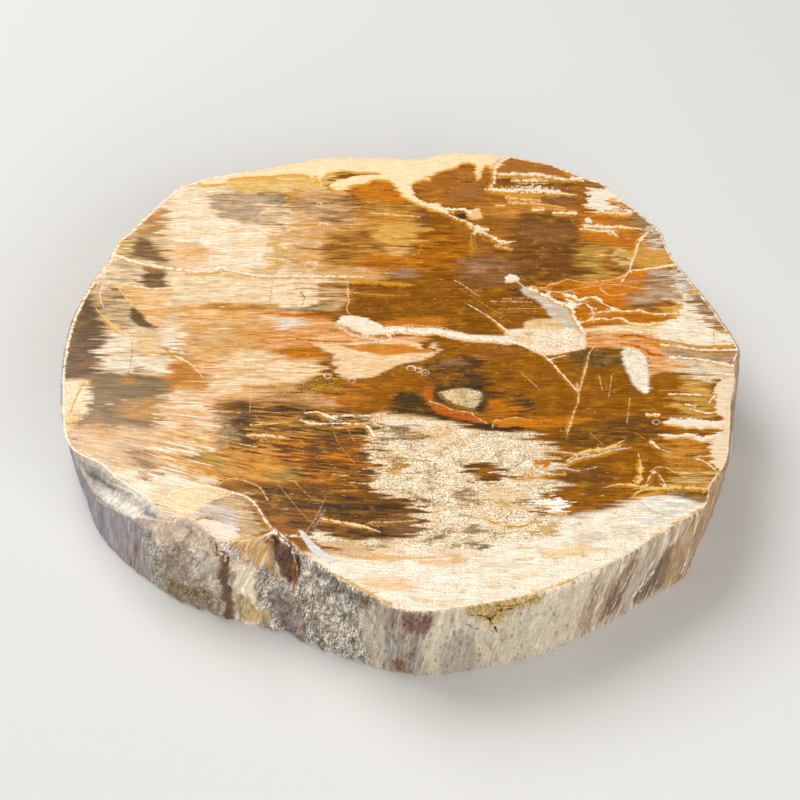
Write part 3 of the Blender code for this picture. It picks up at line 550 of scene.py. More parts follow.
PATCHES = [
    # The cream band along the top, with its hook, its tongue and the strand at its right end
    patch("butter", [(-37, 42.6), (-36, 48), (0, 56), (20, 55), (19, 49.8), (17.2, 48.2), (16.2, 44.8),
        (15.9, 46.4), (14.6, 47.4), (14.1, 46), (13.3, 43.3), (12.7, 45.2), (12.6, 47.3), (11.6, 48.1),
        (10, 47.9), (9.3, 46.9), (6.8, 45.8), (5.2, 44.4), (4.8, 43.3), (3.8, 43.6), (1.4, 42.5),
        (1.9, 40), (2.6, 38.6), (4, 37.6), (6.2, 37.4), (6.6, 36.6), (7.6, 36), (6.2, 35.2), (4, 36),
        (2, 37.2), (-0.5, 39.4), (-1.4, 41.2), (-3.2, 43.3), (-5.8, 43.4), (-6.4, 42.7), (-8.6, 42),
        (-10.2, 41.4), (-11, 40.5), (-12.4, 40.6), (-13.2, 41.8), (-12.4, 43.3), (-10, 44.3), (-8, 44.9),
        (-3.5, 45), (-5.5, 45.4), (-9, 45.5), (-11.6, 46), (-13, 45.3), (-14.2, 44.8), (-14.8, 43.2),
        (-15.6, 43), (-16.2, 44.4), (-16.6, 42.2), (-17.1, 44.3), (-20, 44.9), (-25, 44.4), (-29, 44.1),
        (-31.5, 43.6), (-32, 42.5), (-34.5, 42.2)], 0.2, 0.9),
    patch("peach", [(10.8, 35.5), (12, 35.8), (12.8, 36.2), (13.4, 35.9), (13.3, 35), (13.8, 34.2),
        (13.5, 33.4), (11.6, 33.3)], 0.1, 0.6),
    patch("dark", [(10.5, 34.8), (11, 34), (10.7, 33.3), (9.5, 33.6), (8.9, 34.2)], 0.1),

    # The cream patch and the blob at the upper right
    patch("ivory", [(32.8, 41.6), (35.5, 41), (36.3, 41.6), (38, 40.4), (40.6, 37), (39.3, 36.5),
        (38.7, 37.5), (37.3, 38.3), (36.5, 37.5), (36.7, 36.5), (38.5, 35.6), (40, 35.9), (40.5, 35),
        (40, 34.2), (37.5, 34.3), (35, 34.6), (33.6, 34.6), (33, 35.8), (32, 36.5), (32.5, 38.3),
        (33, 39.8)], 0.45, 0.9),
    patch("honey", [(37.3, 38.1), (38.8, 37.6), (39.6, 36.6), (38.6, 36), (37.2, 36.4)], 0.5),
    patch("ivory", [(31.9, 33.4), (32.6, 33.6), (33.1, 32.8), (32.8, 32.1), (32, 32.3)], 0.1, 0.4),
    patch("orange", [(28.7, 46.2), (29.5, 46.6), (30.9, 45.2), (29.8, 44.7)], 0.15, 0.5),
    patch("ivory", [(17.1, 18.4), (17.7, 18.8), (18.4, 19.5), (19.7, 18.4), (19, 17.5), (17.3, 17.2)],
        0.15, 0.5),

    # The head of the long vein
    patch("ivory", [(-11.4, 7.6), (-10.5, 9), (-9.3, 9.4), (-7, 9), (-6, 8.4), (-5, 8), (-3, 6.3),
        (-2, 5.8), (-3, 5.2), (-6, 4.6), (-7.5, 5.2), (-8.8, 6.3), (-10, 7)], 0.25, 0.3),

    # The eye and the orange-red crescents under it
    patch("dark", [(3.3, -12.8), (5, -13.4), (8, -14.6), (15, -16.4), (18, -16.6), (18.2, -15.3),
        (14, -14.9), (9, -14), (5, -12.6)], 0.3, 0.0, 0.4),
    patch("orange", [(14, -14.9), (14.5, -13.8), (15, -14), (16, -13.8), (18, -13.5), (20.5, -14),
        (20, -15.3), (18, -15.3), (15.5, -15.6)], 0.2, 0.0, 0.25),
    patch("moss", [(5.2, -8.2), (5.5, -7.9), (7.3, -9.9), (10, -11.3), (11, -11.4), (11.2, -12.1),
        (9.8, -11.9), (6.6, -10.2), (5.6, -9)], 0.1),

    # The feathery cream patches and the cream edge at the right
    patch("ivory", [(41.3, -14.2), (42.2, -13.8), (44, -13.9), (46, -13.6), (50, -14.2), (51.3, -14.5),
        (51.5, -16), (49.5, -15.9), (47.8, -15.8), (47, -16.3), (46, -15.7), (44.8, -15.9), (43.7, -15.5),
        (42.5, -15.4), (41.4, -15)], 0.3, 0.7),
    patch("ivory", [(40.6, -17), (42, -17.2), (42.5, -17.4), (44, -17), (46, -17), (47.5, -17.6),
        (48.5, -17.2), (51.2, -16.3), (51.2, -18), (49, -18.5), (48.3, -18.4), (47, -18.8), (46, -18),
        (44, -17.9), (42.5, -18.1), (41.3, -17.9)], 0.3, 0.7),
    patch("cream", [(50.5, -7.5), (51.5, -5.5), (56, -5), (56, -24), (49.5, -24.4), (48.5, -23.5),
        (48, -22), (48.5, -18.5), (50.5, -17), (51, -14.5), (50.2, -12), (50.4, -9.5)], 0.25, 0.4),

    # The front: white cluster, pale lens, peach lens, wedge
    patch("frost", [(-16.2, -36.2), (-15.1, -37), (-13.8, -38.8), (-12.2, -40.4), (-10.4, -41.8),
        (-10.8, -42.4), (-12.6, -41.6), (-14.2, -40.2), (-15.4, -38.2)], 0.04, 0.0, 0.12),
    patch("white", [(19.6, -31.4), (20.6, -30.4), (22.2, -30.4), (23.6, -29.4), (24.2, -30.8),
        (25.8, -30.9), (24.3, -31.8), (24.9, -33), (23, -33.2), (22, -34.2), (21.6, -32.4)], 0.5, 0.7,
        0.25),
    patch("brown", [(35.2, -30), (36.5, -28.8), (39.5, -28.6), (38.3, -29.3)], 0.2, 0.9),
    patch("shell", [(-31.6, -34.6), (-30, -34), (-27.5, -35), (-25.5, -36), (-24.8, -37.8),
        (-26.5, -38.6), (-28.5, -38.2), (-30.4, -36.8)], 0.3, 0.8),
]

LINES = [
    # The two long cracks of the left and the small ones beside them
    line("white", [(-52, 24, 0.2), (-50.3, 24.2, 0.35), (-47.5, 22.8, 0.35), (-45, 21.9, 0.3),
        (-40, 20.7, 0.3), (-38, 20.5, 0.35), (-36.5, 20.1, 0.2), (-34, 20.1, 0.2), (-32.7, 20.4, 0.4),
        (-31.8, 21, 0.4), (-31, 20.9, 0.4), (-30, 20.3, 0.2), (-28, 19.8, 0.2), (-26, 19.2, 0.18),
        (-24, 18.95, 0.18), (-20, 19, 0.2), (-14, 18.9, 0.22), (-7.5, 18.7, 0.1)]),
    line("ochre", [(-47, 22.1), (-41.2, 20.3)], 0.15),
    line("ochre", [(-37, 19.4), (-34, 19.3), (-31, 20), (-28, 19.2), (-25.4, 18.6), (-22, 18.4),
        (-7, 18.3)], 0.14),
    line("ivory", [(-52.8, 18, 0.2), (-46, 16.4, 0.22), (-43, 15.8, 0.15), (-40, 16.1, 0.1)]),
    line("ivory", [(-51.6, 22, 0.12), (-51.5, 17, 0.14), (-51.8, 15, 0.1), (-51.5, 13, 0.12),
        (-51, 11.8, 0.08)]),
    line("wheat", [(-48.8, 16.2), (-47.5, 14), (-46, 12)], 0.13),
    line("wheat", [(-52, 11, 0.1), (-50.5, 9, 0.15), (-49, 7.2, 0.3), (-47.5, 5.8, 0.3),
        (-46.6, 5, 0.1)]),
    line("ochre", [(-39.6, 1.6, 0.1), (-38.5, 0.4, 0.25), (-37.3, -0.9, 0.25)]),
    line("ivory", [(-38, 0.2, 0.1), (-36.6, -0.7, 0.2), (-35.4, -1.5, 0.15), (-34.4, -2.6, 0.12),
        (-33.3, -4.3, 0.08)]),
    line("ochre", [(-52.4, -6.6), (-53.2, -9.5), (-53.7, -12.6)], 0.13),
    line("mist", [(-22, 23.4), (-22.4, 20), (-22.8, 13), (-23, 11)], 0.08),
    line("taupe", [(-45.2, 3), (-45, 0), (-45.2, -3.6)], 0.07),
    line("taupe", [(-36.4, 39.5, 0.08), (-34.6, 39.2, 0.1), (-33.2, 39.8, 0.14), (-30.6, 39.8, 0.14),
        (-29, 39.4, 0.08), (-25.2, 39.4, 0.08)]),
    line("brick", [(-17.4, 14.6, 0.1), (-17, 13.6, 0.15), (-17.2, 12.4, 0.08)]),
    line("cream", [(-30, 30.6), (-25.4, 34.4), (-20.6, 39.4)], 0.07),
    line("cream", [(-25, -1), (-24.9, -12)], 0.04),

    # The strand, the vein from the tongue and what branches from it
    line("ivory", [(18.6, 49.4, 0.3), (17.1, 48.2, 0.4), (16.5, 46.2, 0.4), (16.3, 44.4, 0.3),
        (16.1, 43, 0.3), (15.2, 41.4, 0.2)]),
    line("white", [(6.8, 35.9, 0.35), (8.6, 35.8, 0.3), (10.4, 35.9, 0.3), (11.2, 35.4, 0.3)]),
    line("ivory", [(6.8, 35.4, 0.5), (8.4, 34, 0.22), (10.2, 32.9, 0.28), (11.6, 31.9, 0.35),
        (12.8, 30.9, 0.9), (13.9, 30.7, 0.4)]),
    line("ivory", [(12.6, 30.6, 0.6), (12.3, 29.4, 0.25)]),
    line("moss", [(12.2, 29.4, 0.25), (12, 27.4, 0.25), (12.2, 25.6, 0.2), (11.6, 23.4, 0.12)]),
    line("ivory", [(13.8, 29.8, 0.25), (15.2, 28.9, 0.3), (16.2, 27.8, 0.5), (17.4, 27.4, 0.4),
        (18.8, 27.5, 0.1)]),
    line("peach", [(16.4, 26.4, 0.25), (18.1, 25.8, 0.2)]),
    line("peach", [(-5, 34.8, 0.15), (-2, 34.4, 0.22), (2.3, 33.9, 0.12)]),
    line("ivory", [(-15.1, 43.4, 0.3), (-15, 42.8, 0.2)]),

    # Streaks of the upper right
    line("ivory", [(17.2, 45.3, 0.34), (19, 45.3, 0.47), (21, 45.2, 0.41), (24.6, 45, 0.54),
        (27.6, 44.1, 0.41), (29, 43.9, 0.41), (31.2, 44.1, 0.68)]),
    line("ochre", [(17.4, 44.8), (24, 44.4), (27, 43.6), (30.6, 43.4)], 0.21),
    line("ivory", [(20.1, 43.6, 0.34), (22, 43.5, 0.34), (24, 43.6, 0.41), (25.6, 43.4, 0.2)]),
    line("ivory", [(15.4, 41.2, 0.41), (18, 41, 0.74), (22, 41, 1.08), (24, 41, 1.15), (26, 40.7, 0.94),
        (27.6, 40.4, 0.61), (29, 39.9, 0.27), (30.2, 39.7, 0.14)]),
    line("ochre", [(16, 40.4, 0.2), (19, 40.1, 0.27), (22, 40, 0.2), (24.4, 39.9, 0.27),
        (27, 39.6, 0.2)]),
    line("peach", [(19, 38.8, 0.41), (23.6, 38.3, 0.2)]),
    line("peach", [(19.4, 37.6, 0.27), (24, 37.2, 0.2), (28, 36.4, 0.14)]),
    line("ivory", [(27, 34.9, 0.34), (29.6, 34.9, 0.41)]),
    line("ivory", [(32.2, 31.6, 0.41), (34, 31.5, 0.47), (36, 31.3, 0.41), (38, 31.4, 0.41),
        (39.2, 31.1, 0.27), (41, 30.8, 0.14), (43.2, 30.4, 0.14)]),
    line("ochre", [(32, 31), (36, 30.8), (38.6, 30.8)], 0.17),
    line("ivory", [(31.5, 30.7, 0.2), (34.6, 30.2, 0.41), (36, 30.1, 0.61), (36.8, 29.4, 0.34)]),
    line("ochre", [(36.2, 35.4), (38.8, 35.3)], 0.18),
    line("ivory", [(44.2, 31.6, 0.2), (42.6, 29.8, 0.2), (41.4, 28.2, 0.3), (40.6, 26.6, 0.2),
        (39.9, 24, 0.16), (39.2, 22.3, 0.2), (38.6, 20.2, 0.16), (37.4, 18, 0.14)]),
    line("silver", [(42.4, 27.6), (44, 28), (45.2, 28.1)], 0.2),

    # The box of fine lines above the long vein
    line("peach", [(-10, 18, 0.1), (-9.6, 16.5, 0.12), (-9.7, 14.8, 0.15), (-9.4, 13, 0.1),
        (-9.8, 11, 0.1), (-9.3, 9.8, 0.08)]),
    line("honey", [(-10, 17.8, 0.15), (-6, 17.6, 0.3), (0, 16.9, 0.25), (1.4, 16.7, 0.1)]),
    line("honey", [(-9.5, 14.9, 0.12), (-4, 14.3, 0.15), (0.4, 14.3, 0.1)]),
    line("peach", [(-7.4, 20.1, 0.08), (-5, 19.8, 0.15), (-2.4, 19.6, 0.1)]),
    line("honey", [(-3.4, 20.4), (0.6, 23.4), (2.4, 24.4)], 0.06),
    line("honey", [(-6, 24.9), (-3, 24.4), (0, 24.2), (2.4, 24.6), (2.8, 26)], 0.09),
    line("lavender", [(9.8, 22.6), (12, 22.9), (15, 23.1)], 0.09),
    line("peach", [(9, 17.5), (11, 15.8), (12.3, 14.4)], 0.08),
    line("honey", [(9.8, 15.5), (12, 13.5), (14, 11.5), (16, 9.8), (17.4, 8.3)], 0.07),
    line("ivory", [(10.8, 12, 0.08), (14.5, 8.8, 0.15), (17.2, 5.6, 0.3)]),
    line("peach", [(15.2, 12.8, 0.08), (18.6, 12.7, 0.12), (21, 12.6, 0.06)]),
    line("peach", [(16, 11), (21.6, 11.1)], 0.06),
    line("peach", [(17, 13.5), (20.6, 13.6)], 0.06),
    line("honey", [(15.4, 10.2), (22, 10.3)], 0.06),
    line("silver", [(19.4, 17.4, 0.1), (20.2, 16.4, 0.15)]),

    # The long vein
    line("white", [(-3.4, 5.9, 0.5), (-1.5, 6, 0.6), (0, 6.2, 0.65), (1.5, 5.6, 0.5), (3, 5.5, 0.6),
        (4.5, 5.8, 0.6), (7.5, 5, 0.5), (9, 4.6, 0.7), (10.5, 4.1, 0.5), (12, 4, 0.4), (13.5, 4, 0.5),
        (15, 3.9, 0.5), (16.5, 3.6, 0.6), (17.6, 3.4, 0.5)]),
    line("white", [(-3, 5), (-2.3, 4.5), (-2.6, 3.7), (-4.6, 3.4)], 0.21),
    line("peach", [(0, 7.3), (5.6, 6.8), (7.4, 6.2), (8.6, 5.4)], 0.09),
    line("rust", [(-17.4, 3.9, 0.15), (-13, 3.4, 0.18), (-9.6, 3.3, 0.12)]),
    line("silver", [(-11.4, 7.2, 0.15), (-9.4, 5.4, 0.3), (-7, 4.3, 0.25), (-4, 3.7, 0.12)]),

    # The net of white strands in the orange field
    line("white", [(22, 15.4, 0.37), (23.4, 14.6, 0.32), (25, 13.3, 0.28), (26.4, 12.3, 0.41),
        (27.8, 11.8, 0.55), (28.4, 10.6, 0.37), (28.5, 9, 0.28), (29.8, 5.8, 0.23)]),
    line("white", [(24.2, 14.4, 0.28), (25, 15, 0.14), (26.4, 14.9, 0.14), (27.6, 14.3, 0.37),
        (28.8, 13.9, 0.51), (29.4, 13, 0.28), (30.6, 13.5, 0.28), (32, 13.8, 0.28), (33, 13.2, 0.32)]),
    line("white", [(28, 12.8, 0.28), (28.6, 12.1, 0.46), (29.6, 12.1, 0.14), (30.6, 12.3, 0.11),
        (31.3, 11.4, 0.14), (32.1, 11.1, 0.11)]),
    line("ivory", [(33, 12.6, 0.14), (34.5, 11.6, 0.14), (35.8, 10.8, 0.28), (37.3, 10.4, 0.18),
        (39.6, 10.7, 0.28), (40.4, 10.2, 0.18), (43.2, 9.6, 0.18)]),
    line("ivory", [(31.5, 10.8, 0.07), (31.8, 9.8, 0.14), (31.4, 8.7, 0.23), (30.4, 8, 0.18),
        (28.9, 7.8, 0.18)]),
    line("ivory", [(31.8, 9.8, 0.18), (33, 10.2, 0.18), (34.5, 10.4, 0.18), (35.8, 10.8, 0.28)]),
    line("ivory", [(32, 8.6, 0.18), (33.4, 8.7, 0.23), (34.4, 8.4, 0.11), (35.6, 8.8, 0.18),
        (36.8, 8.5, 0.23), (37.6, 7.7, 0.23), (39, 7.4, 0.23), (40.5, 7.2, 0.28), (42, 7.6, 0.32),
        (43.2, 7.8, 0.18)]),
    line("peach", [(22.2, 16.3, 0.12), (24, 16, 0.15), (24.8, 16.9, 0.15), (26, 17.2, 0.15),
        (28, 18.1, 0.12), (29.4, 17.6, 0.1), (31, 17.4, 0.15), (35.5, 18, 0.15), (37.5, 19, 0.15),
        (38.7, 20.2, 0.12)]),
    line("ivory", [(38.8, 20.2, 0.15), (44, 21.1, 0.3), (46.6, 21.8, 0.45)]),
    line("peach", [(24.5, 15.3, 0.15), (26, 15.1, 0.1), (28, 15.4, 0.1), (30, 16, 0.08), (33, 16.6, 0.1),
        (36, 16.8, 0.1), (39, 16.2, 0.06)]),
    line("peach", [(33.6, 15.6, 0.15), (34.2, 14.8, 0.12), (35.2, 14.1, 0.1), (37.2, 14.5, 0.08)]),
    line("honey", [(46.2, 20.3), (46.2, 17), (46, 15), (46, 12), (46.2, 9.4)], 0.08),
    line("orange", [(51.6, 6.2), (51.3, 2.3)], 0.08),
    line("rust", [(36.6, 4.6, 0.3), (38.5, 4.8, 0.3), (42, 3.5, 0.12)]),
    line("rust", [(36.6, 2.7, 0.25), (38.4, 2.2, 0.3), (39.5, 1.6, 0.3), (40.6, 0.6, 0.4),
        (42, 0.3, 0.3)]),
    line("white", [(35, 5.9, 0.15), (37, 6.1, 0.25), (40, 5.4, 0.2)]),

    # Bands of the right edge
    line("ochre", [(42, 3.7, 0.15), (44, 3.4, 0.22), (48, 2.3, 0.22), (49.6, 2.1, 0.15),
        (51.6, 2.2, 0.22), (54.6, 2.4, 0.2)]),
    line("ivory", [(43, 2.6, 0.3), (46, 2.1, 0.3), (49, 1.4, 0.25), (55, 1.5, 0.2)]),
    line("brick", [(44.4, 1.9, 0.12), (47, 1.6, 0.18), (49.4, 1, 0.18), (55, 1, 0.15)]),
    line("white", [(44.4, -0.2, 0.3), (48, -0.6, 0.22), (50, -1, 0.3), (54.4, -2.3, 0.25)]),
    line("ochre", [(44.8, -0.7), (48, -1), (51, -1.7)], 0.11),
    line("white", [(51.2, -3.8, 0.2), (54, -4.2, 0.3)]),
    line("ochre", [(48.6, 15.2, 0.12), (49.8, 15.4, 0.15), (51.4, 12.8, 0.15), (53.6, 7.6, 0.15),
        (54, 5.4, 0.2), (52.4, 5.6, 0.15)]),

    # The deep amber's cracks
    line("ivory", [(22.8, 0.4), (24.5, -2), (28.2, -8.2)], 0.15),
    line("peach", [(31.5, 2.4, 0.1), (30.4, 0.5, 0.12), (30, -1.5, 0.15), (28.2, -8.2, 0.15),
        (28, -10, 0.12), (27.3, -12, 0.12), (26.1, -15.8, 0.2), (25.8, -17, 0.08)]),
    line("peach", [(31.8, -5), (32, -7)], 0.06),
    line("peach", [(33.7, -5), (33.1, -8.4)], 0.06),
    line("wheat", [(36.3, -9.8), (35.6, -14)], 0.07),
    line("ivory", [(23.9, -0.8, 0.12), (24.8, -0.3, 0.15), (26.2, 0.1, 0.1)]),
    line("peach", [(19.4, -4.2), (21.6, -7)], 0.06),
    line("white", [(39.1, -18.6, 0.3), (40.2, -20.1, 0.12), (41.4, -20.6, 0.08)]),
    line("silver", [(16.8, -20.1, 0.1), (21, -20.3, 0.15), (28, -21.2, 0.15), (31, -21.2, 0.1)]),
    line("silver", [(22.4, -24.3, 0.2), (25, -23.4, 0.2), (27, -22.2, 0.2), (31, -21.1, 0.2),
        (33, -20.3, 0.2), (35.2, -19.9, 0.12)]),
    line("wheat", [(25.5, -22.4, 0.15), (27.5, -21, 0.2), (29, -20.5, 0.35), (31, -20.2, 0.4),
        (32.6, -19.6, 0.4), (34.4, -18.5, 0.12)]),
    line("silver", [(22.6, -24.4, 0.12), (25, -24.1, 0.15), (27, -24.6, 0.12), (29.4, -24, 0.08)]),
    line("wheat", [(31.4, -27.8, 0.1), (34, -27.3, 0.2), (38, -28, 0.3), (40, -28.1, 0.4),
        (42, -27.8, 0.35), (44, -28, 0.3), (47.6, -28.2, 0.3)]),
    line("ivory", [(37.5, -27.4), (38.1, -25.8), (39, -24.9), (39.8, -25.8), (40.5, -27.9)], 0.14),
    line("wheat", [(38.5, -24.5), (39.6, -23.8), (41, -24), (42, -24.8)], 0.09),
    line("wheat", [(36.8, -21.5, 0.1), (36.9, -23, 0.2), (36.8, -24.4, 0.5), (36.7, -25.2, 0.12),
        (36.5, -26.1, 0.45), (36.2, -27.3, 0.12)]),
    line("ivory", [(45.7, -22), (47.2, -22.8), (48.5, -24.4)], 0.14),
    line("wheat", [(35, -29.9), (36.4, -28.6), (38.4, -28.3)], 0.14),
    line("honey", [(29.8, -17.2), (30.9, -18.6)], 0.08),
    line("honey", [(37, -17.1), (38.4, -18.2)], 0.07),

    # Veins at the left of the sandy middle
    line("white", [(-15.4, -12.4, 0.14), (-14, -12.3, 0.16), (-12.8, -13, 0.25), (-11.6, -13.6, 0.22),
        (-10.4, -14, 0.11)]),
    line("white", [(-16.2, -14.2, 0.14), (-15.2, -14.7, 0.25), (-13.5, -14.8, 0.22), (-12, -14.7, 0.14),
        (-10.4, -14.8, 0.07)]),
    line("white", [(-11.5, -13.1, 0.06), (-9, -12.9, 0.14), (-7, -13.1, 0.09), (-5, -13, 0.22),
        (-3.8, -12.9, 0.22)]),
    line("white", [(-10, -14.7, 0.14), (-8, -14.8, 0.18), (-6.5, -14.9, 0.18), (-5.8, -15.6, 0.22),
        (-5.2, -16.8, 0.22)]),
    line("cream", [(-24, -15, 0.18), (-21, -14.8, 0.11)]),
    line("cream", [(-24.4, -17.2, 0.22), (-21.4, -17.3, 0.36), (-19, -17.8, 0.14)]),
    line("cream", [(-12.4, -34.2, 0.25), (-6.4, -35.6, 0.29), (-4.4, -36.4, 0.11)]),
    line("sand", [(-5, -34.8), (-2, -34.8), (1.4, -34.5)], 0.14),
    line("peach", [(4.5, -10.2), (6, -10.8), (7.5, -11.8), (9, -12.2), (10.6, -12.4), (11.2, -13.3),
        (12.6, -14.3)], 0.11),
    line("peach", [(14.1, -15, 0.1), (14.6, -13.8, 0.12), (15.2, -14.2, 0.1), (16.5, -13.7, 0.1),
        (18, -13.5, 0.1), (19.6, -13.9, 0.06)]),
    line("honey", [(-11.7, -15.2), (-10.4, -19), (-8.2, -22.6)], 0.07),
    line("honey", [(-9.4, -15.2), (-8.2, -18)], 0.08),
    line("ochre", [(12.8, -34.5, 0.12), (14, -35, 0.2), (14.8, -34.9, 0.12)]),
    line("ochre", [(16.3, -35.7, 0.2), (18, -35.6, 0.15), (19.5, -34.6, 0.15)]),
    line("ochre", [(17, -26.3, 0.15), (19, -26.2, 0.2), (22, -25.8, 0.15), (24.4, -25.2, 0.12)]),
    line("white", [(13.6, -24.9, 0.1), (16.8, -24.6, 0.15)]),

    # The lower left
    line("white", [(-36.4, -29, 0.12), (-34, -28, 0.15), (-31, -27.7, 0.15), (-29, -28.1, 0.15),
        (-27.5, -28.7, 0.15), (-25.5, -29.3, 0.18), (-24, -30.3, 0.18), (-22.8, -31.6, 0.2),
        (-21.2, -34.6, 0.2), (-20, -36.2, 0.2), (-18.8, -37.3, 0.2), (-17.4, -39, 0.2)]),
    line("ivory", [(-26.5, -29, 0.1), (-28, -29.8, 0.15), (-30, -30.5, 0.15), (-33, -32.6, 0.1)]),
    line("white", [(-44, -28.6, 0.15), (-41, -30.2, 0.2), (-39, -30.3, 0.2), (-36.6, -29.7, 0.12)]),
    line("wheat", [(-28.5, -26.9), (-27, -26.1), (-24.5, -26.8), (-22.5, -28), (-21.4, -30)], 0.11),
    line("ochre", [(-37.6, -22.4, 0.15), (-34.4, -23, 0.25), (-31, -24.2, 0.35), (-29, -25.6, 0.3)]),
    line("sand", [(-17, -27), (-15, -29.5), (-13.5, -31)], 0.04),
    line("sand", [(-12.4, -30.4), (-13.6, -33.6), (-15.4, -37.6)], 0.04),
    line("silver", [(-12.5, -33), (-13.6, -35.5)], 0.04),
    line("straw", [(-16, -42.8, 0.15), (-12, -44, 0.2), (-8, -46.4, 0.25), (-2.4, -50, 0.2)]),
    line("straw", [(18, -48.6, 0.12), (23, -46.4, 0.16), (29, -43.4, 0.1), (35, -39.8, 0.12),
        (40.4, -35.6, 0.2), (45.4, -32.3, 0.2)]),

    # Scratches in the polish and small specks
    line("sand", [(-19.6, -27.4), (-17, -31.4), (-14.8, -34.4)], 0.04),
    line("wheat", [(33, -34.6), (36, -33), (39, -33.4), (42, -32)], 0.07),
    line("sand", [(29, -38.4), (32, -36.6), (34, -37.2), (38, -35.2)], 0.07),
    line("mist", [(36.4, -31, 0.1), (38, -32.6, 0.08), (40.8, -33.8, 0.05)]),
    line("white", [(24.6, -35.4, 0.1), (27.4, -34.4, 0.14), (30, -34.6, 0.08)]),
    line("honey", [(43.2, -19.2), (43, -24.6)], 0.04),
    line("honey", [(43.9, -19), (43.8, -25)], 0.04),
    line("honey", [(44.7, -19.4), (44.5, -24.8)], 0.04),
    line("honey", [(45.6, -19), (45.4, -24)], 0.04),
    line("white", [(43.4, -8.4), (44.6, -8.4)], 0.15),
    line("white", [(46, -8.5), (47.3, -8.6)], 0.14),
    line("white", [(45.9, -10.8), (46.3, -10.9)], 0.15),
    line("white", [(46.5, -11.9), (47.6, -12.2), (48.5, -12.6), (49.6, -12.4)], 0.14),
    line("white", [(49.4, -9.8), (49.9, -9.1)], 0.15),
    line("ivory", [(39.5, -12.8), (40.1, -12.8)], 0.3),
    line("ivory", [(23.5, 35.7), (23.9, 35.7)], 0.35),
    line("ivory", [(16.9, 36.8), (17.2, 36.8)], 0.15),
    line("orange", [(21.3, -23.1), (21.8, -23.2)], 0.6),
]

